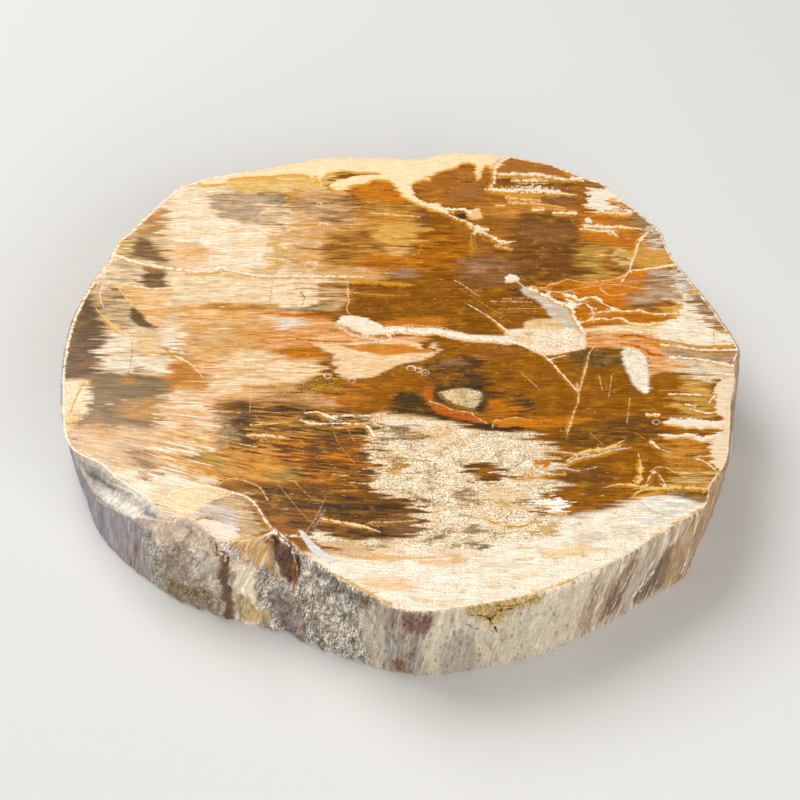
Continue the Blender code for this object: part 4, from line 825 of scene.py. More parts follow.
# The wall, in degrees from -270 to 90 and millimetres of height: ground and lines as above
WALL_GROUND = [
    # The back, which the photo doesn't show: a banded rind
    zone("sand", "brown", 0.55, 8.0, [(-275, -3), (-188, -3), (-188, 20), (-275, 20)]),
    zone("sand", "brown", 0.55, 8.0, [(2, -3), (95, -3), (95, 20), (2, 20)]),
    zone("stone", "taupe", 0.6, 6.0, [(20, -3), (48, -3), (44, 20), (16, 20)]),
    zone("straw", "umber", 0.5, 5.0, [(-262, -3), (-240, -3), (-244, 20), (-266, 20)]),
    zone("peach", "flint", 0.6, 5.0, [(-226, -3), (-206, -3), (-210, 20), (-230, 20)]),
    # Pale bands along the top edge of the back: partly the rind's own pale colour, partly a painted highlight
    # along the edge
    zone("ivory", "sand", 0.7, 1.5, [(-275, 15.4), (-200, 16), (-200, 20), (-275, 20)]),
    zone("ivory", "sand", 0.7, 1.5, [(30, 16), (95, 15.4), (95, 20), (30, 20)]),

    # The worn left front and the chip above it, with painted light on the chip's facet and painted shade on
    # its steps
    zone("lilac", "slate", 0.5, 12.0, [(-180, -3), (-137.5, -3), (-137.5, 18), (-186, 20)], calm=0.75),
    zone("lilac", "slate", 0.2, 1.2, [(-163, -2), (-161, -2), (-160, 12), (-162.4, 13)], calm=0.6),
    zone("lilac", "slate", 0.3, 1.0, [(-155.4, -2), (-153.6, -2), (-151.6, 10), (-154, 11)], calm=0.6),
    zone("lilac", "taupe", 0.6, 1.5, [(-148, -2), (-140, -2), (-140, 8), (-146, 9)], calm=0.7),
    zone("lilac", "plum", 0.5, 0.8, [(-146.4, -2), (-145, -2), (-142.6, 13), (-144.2, 13)], calm=0.6),
    zone("silver", "lilac", 0.5, 1.0, [(-140.6, -2), (-138.2, -2), (-139, 13), (-141, 13)], calm=0.6),
    # The chip's lower facet: partly its own white, partly painted light where it slopes up toward the light
    zone("white", "silver", 0.6, 0.7, [(-164, 14), (-158.6, 11), (-153.6, 11), (-149, 12.8), (-143, 14.6),
        (-142.6, 16.4), (-147, 16.2), (-152, 14.6), (-157, 13.4), (-160, 15.6)], 0.9, 0.3, 0.3),
    # The pale band under the chip's rim: partly its own pale cream, partly a painted highlight along the edge
    zone("ivory", "stone", 0.6, 0.5, [(-168, 16.2), (-160, 15.2), (-152, 16.6), (-146, 17), (-137, 16.8),
        (-137, 20), (-168, 20)], 0.3, 0.2, 0.6),
    zone("stone", "flint", 0.6, 0.5, [(-158.4, 15.2), (-156.8, 12.8), (-154, 13.4), (-147.4, 16.4),
        (-144.4, 16.6), (-144.4, 17), (-150, 16.8), (-156, 15)], 0.6, 0.3, 0.4),
    # The chip's steps, in these two grey bands: painted shade
    zone("ash", "pebble", 0.5, 0.5, [(-157.6, 13.4), (-155.6, 13), (-152.4, 14.2), (-148, 16),
        (-156, 14.4)], 0.5, 0.3, 0.4),
    zone("slate", "flint", 0.5, 0.5, [(-142.9, 14.2), (-139.2, 15.3), (-136.4, 16.5), (-136.2, 15.4),
        (-139, 13.8), (-142.6, 13.2)], 0.4, 0.3, 0.5),

    # The broken side: the lobe, the groove, the lit face, the nodule, with painted light and shade on the
    # lobe, in the groove, on the lit face, below the nodule and under the rim at the corner
    zone("white", "pebble", 0.44, 2.5, [(-137, -3), (-96, -3), (-95, 20), (-137, 20)], 1.0, calm=0.15),
    # The lobe's top: partly its own pale peach and cream, partly painted light where it tilts up toward the
    # light
    zone("shell", "mist", 0.6, 1.5, [(-138, 18), (-126.4, 18), (-126.3, 12.6), (-132, 13.6),
        (-137.4, 12)], 0.5, 0.6, 0.5),
    # The lobe's lower part, in these two zones: partly its own tan and grey, partly painted shade where it
    # turns from the light
    zone("silver", "taupe", 0.45, 1.5, [(-137.6, -2), (-125, -2), (-125.4, 6), (-126.6, 11.6), (-132, 13),
        (-137, 11.4)], 0.8, 0.6, 0.2),
    zone("mist", "pebble", 0.5, 1.2, [(-136.6, 0), (-130, 0), (-127.6, 4), (-129, 6.6), (-136, 3)], 0.8,
        0.6, 0.2),
    zone("silver", "flint", 0.5, 0.6, [(-128.6, 14), (-127, 12.6), (-126, 8), (-127.6, 7.6),
        (-129, 10.6)], 0.8, 0.4),
    # The groove beside the lobe: painted shade, a dark zone where the lobe's flank turns from the light
    zone("pebble", "umber", 0.55, 0.6, [(-127.4, 16.6), (-126, 15), (-124.2, 5), (-123.4, 0), (-125, 0),
        (-125.8, 5), (-127.2, 14)], 0.7, 0.5),
    # The lit face right of the groove: partly its own cream, partly painted light where it faces the light
    zone("white", "wheat", 0.6, 0.8, [(-125, 12), (-122.6, 13.4), (-120.6, 11.6), (-118.4, 4), (-118, 0),
        (-123.2, 0), (-124.4, 6)], 0.4, 0.6),
    zone("wheat", "flint", 0.5, 0.7, [(-122.8, 6), (-119.4, 5), (-117, 1.8), (-122, 1)], 0.5, 0.6),
    zone("cream", "honey", 0.5, 0.8, [(-124.8, 18), (-120, 18), (-118, 14.4), (-117, 12.4),
        (-119.6, 12.2), (-122, 14)], 0.2, 0.6),
    zone("plum", "dark", 0.6, 0.5, [(-119.6, 17.3), (-115, 17.3), (-112.2, 16.2), (-110.8, 14.6),
        (-111.4, 11.8), (-113.4, 11), (-115.2, 13.4), (-119.4, 15)], 0.5, 0.5),
    zone("brick", "plum", 0.6, 0.4, [(-113.4, 15), (-112.6, 15), (-111.4, 11), (-112.4, 11)], 0, 0.4),
    # Below the nodule: painted shade, a darker ash and plum area
    zone("ash", "plum", 0.5, 1.6, [(-117, 9), (-112, 8), (-109.4, 3.6), (-111, 0), (-115, 1)], 0.8),
    # Under the rim at the corner with the front: painted shade, a dark taupe area
    zone("taupe", "dark", 0.5, 0.8, [(-96.6, 16.8), (-93.4, 16.4), (-92, 13.2), (-92.6, 10.4),
        (-95, 12.6)], 0.7),
    zone("ash", "umber", 0.5, 1.4, [(-108, 16.8), (-97, 16.8), (-95, 13.6), (-100, 14.4), (-106, 15.4)],
        0.9),

    # The front: beige fibres, a stain and moss
    zone("stone", "flint", 0.6, 2.0, [(-93.4, -3), (-54, -3), (-53, 20), (-92.4, 20)], 0.35, calm=0.6),
    zone("ash", "taupe", 0.5, 1.5, [(-93.6, -3), (-88, -3), (-87.6, 20), (-92.6, 20)]),
    zone("plum", "taupe", 0.5, 1.0, [(-90.4, 17), (-85.4, 17), (-86.4, 12.6), (-88, 10.8),
        (-89.8, 12.6)]),
    zone("plum", "taupe", 0.5, 0.5, [(-92, 4), (-90, 3.8), (-90, 0.8), (-91.6, 1)]),
    zone("ash", "flint", 0.5, 1.5, [(-84, -3), (-79, -3), (-78.4, 9), (-83, 10)], 0.3),
    zone("wheat", "olive", 0.5, 1.2, [(-80, 18), (-67, 18), (-67.4, 15.4), (-72.6, 14.4), (-74.4, 11),
        (-76.8, 13.4), (-79.4, 15.6)], 0.8),
    # The pale band along the front's top edge: partly its own pale colour, partly a painted highlight along
    # the edge
    zone("ivory", "stone", 0.6, 0.6, [(-66, 18), (-40, 18), (-40, 16.6), (-53, 16.4), (-66, 16.4)], 0.4),

    # The right: slanting streaks, then the face beyond the upright corner
    zone("stone", "taupe", 0.5, 2.0, [(-58, -3), (-34, -3), (-33, 20), (-54, 20)], 0.1),
    zone("flint", "plum", 0.3, 0.8, [(-54.6, 3), (-53.3, 10), (-51.3, 14), (-48.2, 15), (-49.3, 8.9),
        (-51, 3.6)]),
    zone("ash", "flint", 0.5, 0.8, [(-50, 2), (-48.6, 9), (-46, 15), (-44.4, 14), (-46.8, 7),
        (-48.4, 2)]),
    zone("taupe", "pebble", 0.4, 1.2, [(-47.5, 1.9), (-46.3, 4.5), (-43.8, 10), (-40, 13), (-36.4, 14),
        (-35.5, 8), (-37.3, 4), (-42.6, 1.5)]),
    zone("sand", "taupe", 0.55, 1.0, [(-41, 1), (-39, 8), (-37, 12), (-36.2, 2), (-38, 0)]),
    zone("mist", "mauve", 0.62, 0.8, [(-36, -3), (6, -3), (6, 20), (-35.4, 20)]),
    zone("sand", "mauve", 0.6, 1.8, [(-31, -3), (-27, -3), (-26, 20), (-29, 20)]),
    zone("mist", "mauve", 0.5, 0.8, [(-22, -3), (-16, -3), (-15, 20), (-20, 20)]),
    zone("shell", "mist", 0.5, 2.0, [(-12, -3), (-7, -3), (-5, 20), (-9, 20)]),
]

WALL_LINES = [
    # The chip's white lips: partly their own pale colour, partly a painted highlight along the edges
    line("white", [(-157.6, 11), (-153.4, 10.2), (-149.1, 12.4), (-145.1, 14.4), (-141.4, 15),
        (-138.8, 16.2), (-136.9, 16.6)], 0.28),
    line("white", [(-153, 14.9), (-150, 16.2), (-146.4, 16.9), (-143.6, 16.7)], 0.12),
    line("ivory", [(-136.3, 14.8), (-134.6, 14.5), (-130, 14.7)], 0.14),
    line("ivory", [(-135.6, 13.6), (-132.8, 13.5), (-130.6, 14)], 0.1),
    line("cream", [(-136, 8.4), (-134, 7), (-132.8, 5.2)], 0.14),
    line("cream", [(-133.6, 10.4), (-131.4, 9.4), (-130.2, 7.6)], 0.14),
    line("cream", [(-131.6, 5.4), (-129.8, 4.2), (-129, 2.4)], 0.14),
    line("ivory", [(-127.4, 15.8), (-126.4, 14.2), (-126.2, 12.4)], 0.16),
    line("white", [(-124.6, 11.6), (-123.8, 9), (-123.4, 6.4), (-122.6, 3.6)], 0.3),
    line("white", [(-119.8, 17.1), (-115.2, 16.8)], 0.2),
    line("wheat", [(-119.6, 16.4), (-118.6, 14.8), (-116.4, 13.6), (-114.6, 12)], 0.14),
    line("white", [(-113.4, 16), (-112.6, 14.4), (-111.4, 13)], 0.14),
    line("dark", [(-78.6, 15.2), (-76.8, 14.4), (-75.6, 12.6), (-74.8, 10.6)], 0.2),
    line("dark", [(-76.2, 13.6), (-74.4, 15), (-72.6, 15.4)], 0.18),
    line("olive", [(-73.8, 16.2), (-71.2, 16), (-68.4, 16.4)], 0.16),
    line("dark", [(-79.6, 12.8), (-78.2, 11.6)], 0.12),
    line("ivory", [(-49, 13.4), (-52.8, 2)], 0.12),
    line("white", [(-44.2, 8.2), (-48.6, 2)], 0.12),
    line("ivory", [(-36.2, 16.6), (-36, 10), (-37, 3)], 0.14),
    line("ivory", [(-41.6, 14.4), (-43.4, 9), (-45.6, 4.6)], 0.1),
]


def linear(colour):
    """A screen colour, by its name or as three numbers, as the surface colour that shows so."""
    shares = [level / 255 for level in COLOURS.get(colour, colour)]
    return [(s / 12.92 if s < 0.04045 else ((s + 0.055) / 1.055) ** 2.4) / EXPOSURE for s in shares]


def rgba(colour):
    return (*linear(colour), 1.0)


def ramp(x):
    """Rises smoothly from 0 to 1 as x does."""
    x = np.clip(x, 0, 1)
    return x * x * (3 - 2 * x)


def curve(points, steps, closed):
    """Points on the smooth curve (Catmull-Rom) through these points, of any number of coordinates."""
    points = np.array(points, float)
    count = len(points)
    spans = count if closed else count - 1
    curved = []
    for i in range(spans):
        places = [(i + k) % count if closed else min(max(i + k, 0), count - 1) for k in (-1, 0, 1, 2)]
        before, start, end, after = points[places]
        for step in range(steps):
            t = step / steps
            bend = (2 * before - 5 * start + 4 * end - after) * t * t
            swing = (3 * start - before - 3 * end + after) * t ** 3
            curved.append((2 * start + (end - before) * t + bend + swing) / 2)
    if not closed:
        curved.append(points[-1])
    return np.array(curved)


def nearby(places, outline, margin):
    """Which places lie in the outline's box, widened by a margin."""
    low = outline.min(0) - margin
    high = outline.max(0) + margin
    return np.nonzero(np.all((places >= low) & (places <= high), axis=1))[0]


def outline_distance(places, outline):
    """Signed distance to a closed outline, positive inside, and how far below the place its edge lies."""
    best = np.full(len(places), np.inf)
    below = np.zeros(len(places))
    inside = np.zeros(len(places), bool)
    x, y = places.T
    for start, end in zip(outline, np.roll(outline, -1, 0)):
        edge = end - start
        share = np.clip((places - start) @ edge / max(edge @ edge, 1e-9), 0, 1)
        gap = places - start - share[:, None] * edge
        distance = np.hypot(gap[:, 0], gap[:, 1])
        closer = distance < best
        best[closer] = distance[closer]
        below[closer] = (gap[:, 1] / np.maximum(distance, 1e-6))[closer]
        rise = edge[1] if abs(edge[1]) > 1e-9 else 1e-9
        crosses = ((start[1] > y) != (end[1] > y)) & (x < start[0] + (y - start[1]) / rise * edge[0])
        inside ^= crosses
    side = np.where(inside, 1.0, -1.0)
    return best * side, below * side


def line_distance(places, points):
    """(sideways offset with its sign, distance, half width) of the line's nearest spot."""
    best = np.full(len(places), np.inf)
    found = np.zeros((len(places), 3))
    for start, end in zip(points, points[1:]):
        edge = (end - start)[:2]
        length = max(math.hypot(*edge), 1e-6)
        share = np.clip((places - start[:2]) @ edge / length ** 2, 0, 1)
        gap = places - start[:2] - share[:, None] * edge
        distance = np.hypot(gap[:, 0], gap[:, 1])
        offset = (edge[0] * gap[:, 1] - edge[1] * gap[:, 0]) / length
        closer = distance < best
        best[closer] = distance[closer]
        width = start[2] + share * (end[2] - start[2])
        found[closer] = np.stack([offset, distance, width], 1)[closer]
    return found


def streak_noise(places, reach, along, across, seed):
    """Noise at each place, up to this reach, in streaks of this length along X and this width across it."""
    return reach * np.array([noise.noise((x / along, y / across, seed)) for x, y in places])


def torn(grain):
    """How far each place is moved along and across the grain, fibre by fibre, so that edges look torn."""
    places = np.stack([grain[:, 0], grain[:, 1] + THIRD_AXIS * grain[:, 2]], 1)
    along = sum(streak_noise(places, *streaks) for streaks in TEAR_ALONG)
    along += LONG_TEARS[0] * streak_noise(places, 1.0, *LONG_TEARS[1:]) ** 3
    across = sum(streak_noise(places, *streaks) for streaks in TEAR_ACROSS)
    return np.stack([along, across], 1)


def paint_ground(places, shift, zones, base):
    """Light colour, dark colour and (share, grains, calm) at each place, painted zone after zone."""
    count = len(places)
    light = np.tile(linear(base["light"]), (count, 1))
    dark = np.tile(linear(base["dark"]), (count, 1))
    mix = np.tile([base["share"], base["grains"], base["calm"]], (count, 1))
    for area in zones:
        outline = curve(area["outline"], ZONE_STEPS, True)
        moved = places + shift * area["tear"]
        near = nearby(moved, outline, area["fade"])
        if len(near) == 0:
            continue
        distance = outline_distance(moved[near], outline)[0]
        weight = ramp(distance / area["fade"] + 0.5)[:, None]
        light[near] += weight * (linear(area["light"]) - light[near])
        dark[near] += weight * (linear(area["dark"]) - dark[near])
        mix[near] += weight * ([area["share"], area["grains"], area["calm"]] - mix[near])
    return light, dark, mix


def draw_patches(places, shift, patches):
    """Colour, (distance, raggedness, softness) and rim of the crisp patches at each place."""
    count = len(places)
    colour = np.tile(linear("cream"), (count, 1))
    edge = np.tile(NO_PATCH, (count, 1))
    rim = np.zeros(count)
    for area in patches:
        outline = curve(area["outline"], EDGE_STEPS, True)
        moved = places + shift * area["ragged"] * PATCH_TEAR
        near = nearby(moved, outline, FAR)
        if len(near) == 0:
            continue
        distance, below = outline_distance(moved[near], outline)

        # A later patch covers an earlier one, and outside both the nearer one counts
        taken = distance > np.minimum(edge[near, 0], -PATCH_OVERLAP)
        chosen = near[taken]
        colour[chosen] = linear(area["colour"])
        edge[chosen, 0] = distance[taken]
        edge[chosen, 1:] = area["ragged"], area["soft"]
        rim[chosen] = area["rim"] * np.clip(RIM_STRENGTH[0] + RIM_STRENGTH[1] * below[taken], 0, 1)
    return colour, edge, rim


def draw_lines(places, lines):
    """Colour and (sideways offset, distance, half width) of the nearest line at each place."""
    count = len(places)
    colour = np.tile(linear("white"), (count, 1))
    offset = np.tile(NO_LINE, (count, 1))
    for crack in lines:
        points = curve(crack["points"], EDGE_STEPS, False)
        near = nearby(places, points[:, :2], FAR)
        if len(near) == 0:
            continue
        found = line_distance(places[near], points)
        taken = found[:, 1] - found[:, 2] < offset[near, 1] - offset[near, 2]
        chosen = near[taken]
        colour[chosen] = linear(crack["colour"])
        offset[chosen] = found[taken]
    return colour, offset


def with_alpha(colour):
    return np.concatenate([colour, np.ones((len(colour), 1))], 1)


def markings(places, grain, shift, zones, patches, lines, base):
    """All layers of markings at these places, with the edges of zones and patches shifted so far."""
    light, dark, mix = paint_ground(places, shift, zones, base)
    patch_colour, patch_edge, patch_rim = draw_patches(places, shift, patches)
    line_colour, line_offset = draw_lines(places, lines)
    return {
        "ground_light": with_alpha(light), "ground_dark": with_alpha(dark), "ground_mix": mix,
        "patch_colour": with_alpha(patch_colour), "patch_edge": patch_edge, "patch_rim": patch_rim,
        "line_colour": with_alpha(line_colour), "line_offset": line_offset,
        "grain": grain,
    }


def grain_of_face(places):
    """(along, across, 0) the grain at each place of the face."""
    x, y = places.T[:2]
    lower = ramp((SLOPE_BELOW[0] - y) / SLOPE_BELOW[1])
    left = np.tanh((x - SLOPE_LEFT[0]) / SLOPE_LEFT[1]) - 1
    across = y + GRAIN_RISE * x + SLOPE_DROP * lower * left
    return np.stack([x, across, np.zeros(len(x))], 1)


def grain_of_wall(angles, heights):
    """The same for the wall, where the fibres stand nearly upright: across is a place round the stone."""
    turn = np.radians(angles - WALL_SLANT * heights)
    return np.stack([heights, RIM_RADIUS * np.cos(turn), RIM_RADIUS * np.sin(turn)], 1)


def wall_grid():
    """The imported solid's columns as (angle, radius, height), each from the foot up: [column][level]."""
    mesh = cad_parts[NODE].data
    places = np.empty(len(mesh.vertices) * 3)
    mesh.vertices.foreach_get("co", places)
    places = places.reshape(-1, 3) / MM
    x = places[:, 0] - CENTRE[0]
    y = places[:, 1] - CENTRE[1]
    polar = np.stack([np.degrees(np.arctan2(y, x)), np.hypot(x, y), places[:, 2]], 1)
    column_of = np.round(polar[:, 0] * COLUMNS / 360).astype(int) % COLUMNS
    columns = []
    for c in range(COLUMNS):
        column = polar[column_of == c]
        column = column[np.argsort(column[:, 2])]
        column = column[np.append(True, np.diff(column[:, 2]) > SAME_PLACE)]
        column[:, 0] = c * 360 / COLUMNS
        columns.append(column)
    whole = max(len(column) for column in columns)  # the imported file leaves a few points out
    return np.array([column for column in columns if len(column) == whole])


def finer_wall(grid):
    """The wall's grid divided more finely, with smooth curves through its own points: [level][column]."""
    rings = []
    for ring in grid.transpose(1, 0, 2):
        turned = ring.copy()
        turned[:, 0] = np.unwrap(turned[:, 0], period=360)
        padded = np.vstack([turned[-2:] - [360, 0, 0], turned, turned[:3] + [360, 0, 0]])
        start = 2 * COLUMN_STEPS
        rings.append(curve(padded, COLUMN_STEPS, False)[start:start + len(ring) * COLUMN_STEPS])
    above_foot = np.array(rings[1:]).transpose(1, 0, 2)
    body = np.stack([curve(column, LEVEL_STEPS, False) for column in above_foot], 1)
    return np.concatenate([[rings[0]], body])


def side_share(angles, start, end, fade):
    """1 on the wall between two angles, counted from start on to end, and 0 elsewhere."""
    middle = (start + end) / 2
    away = np.abs((angles - middle + 180) % 360 - 180)
    return ramp(((end - start) / 2 - away) / fade + 0.5)


def relief(angle, height, noises):
    """The sum of these noises at each place of the wall."""
    turn = np.radians(angle).ravel()
    x = RIM_RADIUS * np.cos(turn)
    y = RIM_RADIUS * np.sin(turn)
    total = np.zeros(len(turn))
    for reach, across, along, seed in noises:
        total += reach * np.array([noise.noise((a / across, b / across, h / along + seed))
                                   for a, b, h in zip(x, y, height.ravel())])
    return total.reshape(angle.shape)


def make_wall_points(rings):
    """Places of the wall's points in millimetres of the frame, with the fine relief added."""
    angle, radius, height = rings.transpose(2, 0, 1)
    broken = side_share(angle, *BROKEN_SIDE)
    front = side_share(angle, *FRONT_SIDE)
    back = side_share(angle, *BACK_SIDE)
    lumps = relief(angle, height, LUMPS) - LUMPS_SINK
    pits = -PIT_DEPTH * ramp((relief(angle, height, PIT_SPOTS) - PIT_SHARE[0]) / PIT_SHARE[1])
    change = relief(angle, height, RIBS) * (1 - broken) + lumps * broken
    change += pits * front + relief(angle, height, RIND) * back
    change *= RIM_RELIEF[0] + RIM_RELIEF[1] * ramp((height.max() - height) / RIM_BAND)
    radius = radius + np.clip(change - RELIEF_SINK, *RELIEF_LIMITS)
    turn = np.radians(angle)
    return np.stack([CENTRE[0] + radius * np.cos(turn), CENTRE[1] + radius * np.sin(turn), height], -1)


def flat_cap(rim, z, steps, extra):
    """Triangles between a rim and a grid of points within it, finer across the grain than along it."""
    low = rim.min(0)
    high = rim.max(0)
    rows = []
    for k, y in enumerate(np.arange(low[1], high[1], steps[1])):
        xs = np.arange(low[0], high[0], steps[0]) + (steps[0] / 2 if k % 2 else 0)
        rows.append(np.stack([xs, np.full(len(xs), y)], 1))
    spots = np.concatenate(rows + extra)
    spots = spots[outline_distance(spots, rim[::RIM_THINNED])[0] > RIM_GAP * steps[0]]
    stretch = np.array([1.0, steps[0] / steps[1]])
    points = [Vector(p) for p in np.concatenate([rim, spots]) * stretch]
    made = geometry.delaunay_2d_cdt(points, [], [list(range(len(rim)))], 1, 1e-5, False)
    places = np.array([(p.x, p.y / stretch[1], z) for p in made[0]])
    faces = np.array([list(f) for f in made[2]])

    # Triangles in the rim's hollows, which have only rim points, are left out
    on_rim = np.nonzero((faces < len(rim)).all(1))[0]
    middles = places[faces[on_rim], :2].mean(1)
    faces = np.delete(faces, on_rim[outline_distance(middles, rim)[0] < 0], 0)
    return places, faces.tolist()


class Shader:
    """A material's node tree, with one short call for each kind of node."""

    def __init__(self, name):
        self.material = bpy.data.materials.new(name)
        self.material.use_nodes = True
        self.tree = self.material.node_tree
        self.surface = self.tree.nodes["Principled BSDF"]

    def node(self, kind, **settings):
        node = self.tree.nodes.new(kind)
        for setting, value in settings.items():
            setattr(node, setting, value)
        return node

    def put(self, socket, value):
        """Sets an input to a number or colour, or links it to another node's output."""
        if isinstance(value, bpy.types.NodeSocket):
            self.tree.links.new(value, socket)
        else:
            socket.default_value = value

    def attribute(self, name, output="Fac"):
        return self.node("ShaderNodeAttribute", attribute_name=name).outputs[output]

    def parts(self, vector):
        node = self.node("ShaderNodeSeparateXYZ")
        self.put(node.inputs[0], vector)
        return list(node.outputs)

    def math(self, operation, *values):
        node = self.node("ShaderNodeMath", operation=operation)
        for socket, value in zip(node.inputs, values):
            self.put(socket, value)
        return node.outputs[0]

    def times(self, *values):
        """The product of two or more values."""
        product = values[0]
        for value in values[1:]:
            product = self.math("MULTIPLY", product, value)
        return product

    def swayed(self, base, value, reach):
        """The base, moved up or down as the value is above or below a half."""
        return self.math("MULTIPLY_ADD", self.math("SUBTRACT", value, 0.5), reach, base)

    def noise(self, vector, along, across, place, detail, rough):
        mapping = self.node("ShaderNodeMapping")
        self.put(mapping.inputs["Vector"], vector)
        self.put(mapping.inputs["Scale"], (along, across, across))
        self.put(mapping.inputs["Location"], place)
        node = self.node("ShaderNodeTexNoise")
        inputs = {"Vector": mapping.outputs[0], "Scale": 1.0, "Detail": detail, "Roughness": rough}
        for name, value in inputs.items():
            self.put(node.inputs[name], value)
        return node.outputs["Fac"]

    def step(self, value, low, high, start=0.0, end=1.0):
        """Goes smoothly from start to end as the value goes from low to high."""
        node = self.node("ShaderNodeMapRange", interpolation_type="SMOOTHSTEP")
        for socket, number in zip(node.inputs, (value, low, high, start, end)):
            self.put(socket, number)
        return node.outputs[0]

    def mix(self, share, below, above, blend="MIX"):
        """One colour over another."""
        node = self.node("ShaderNodeMix", data_type="RGBA", blend_type=blend)
        for place, value in ((0, share), (6, below), (7, above)):
            self.put(node.inputs[place], value)
        return node.outputs[2]

    def blend(self, share, below, above):
        """The same for numbers."""
        node = self.node("ShaderNodeMix", data_type="FLOAT")
        for place, value in ((0, share), (2, below), (3, above)):
            self.put(node.inputs[place], value)
        return node.outputs[0]

    def shaded(self, colour, shade):
        """The colour times a shade."""
        grey = self.node("ShaderNodeCombineColor")
        for socket in grey.inputs:
            self.put(socket, shade)
        return self.mix(1.0, colour, grey.outputs[0], "MULTIPLY")

    def bump(self, height, strength, distance):
        node = self.node("ShaderNodeBump")
        for name, value in (("Strength", strength), ("Distance", distance), ("Height", height)):
            self.put(node.inputs[name], value)
        self.put(self.surface.inputs["Normal"], node.outputs[0])


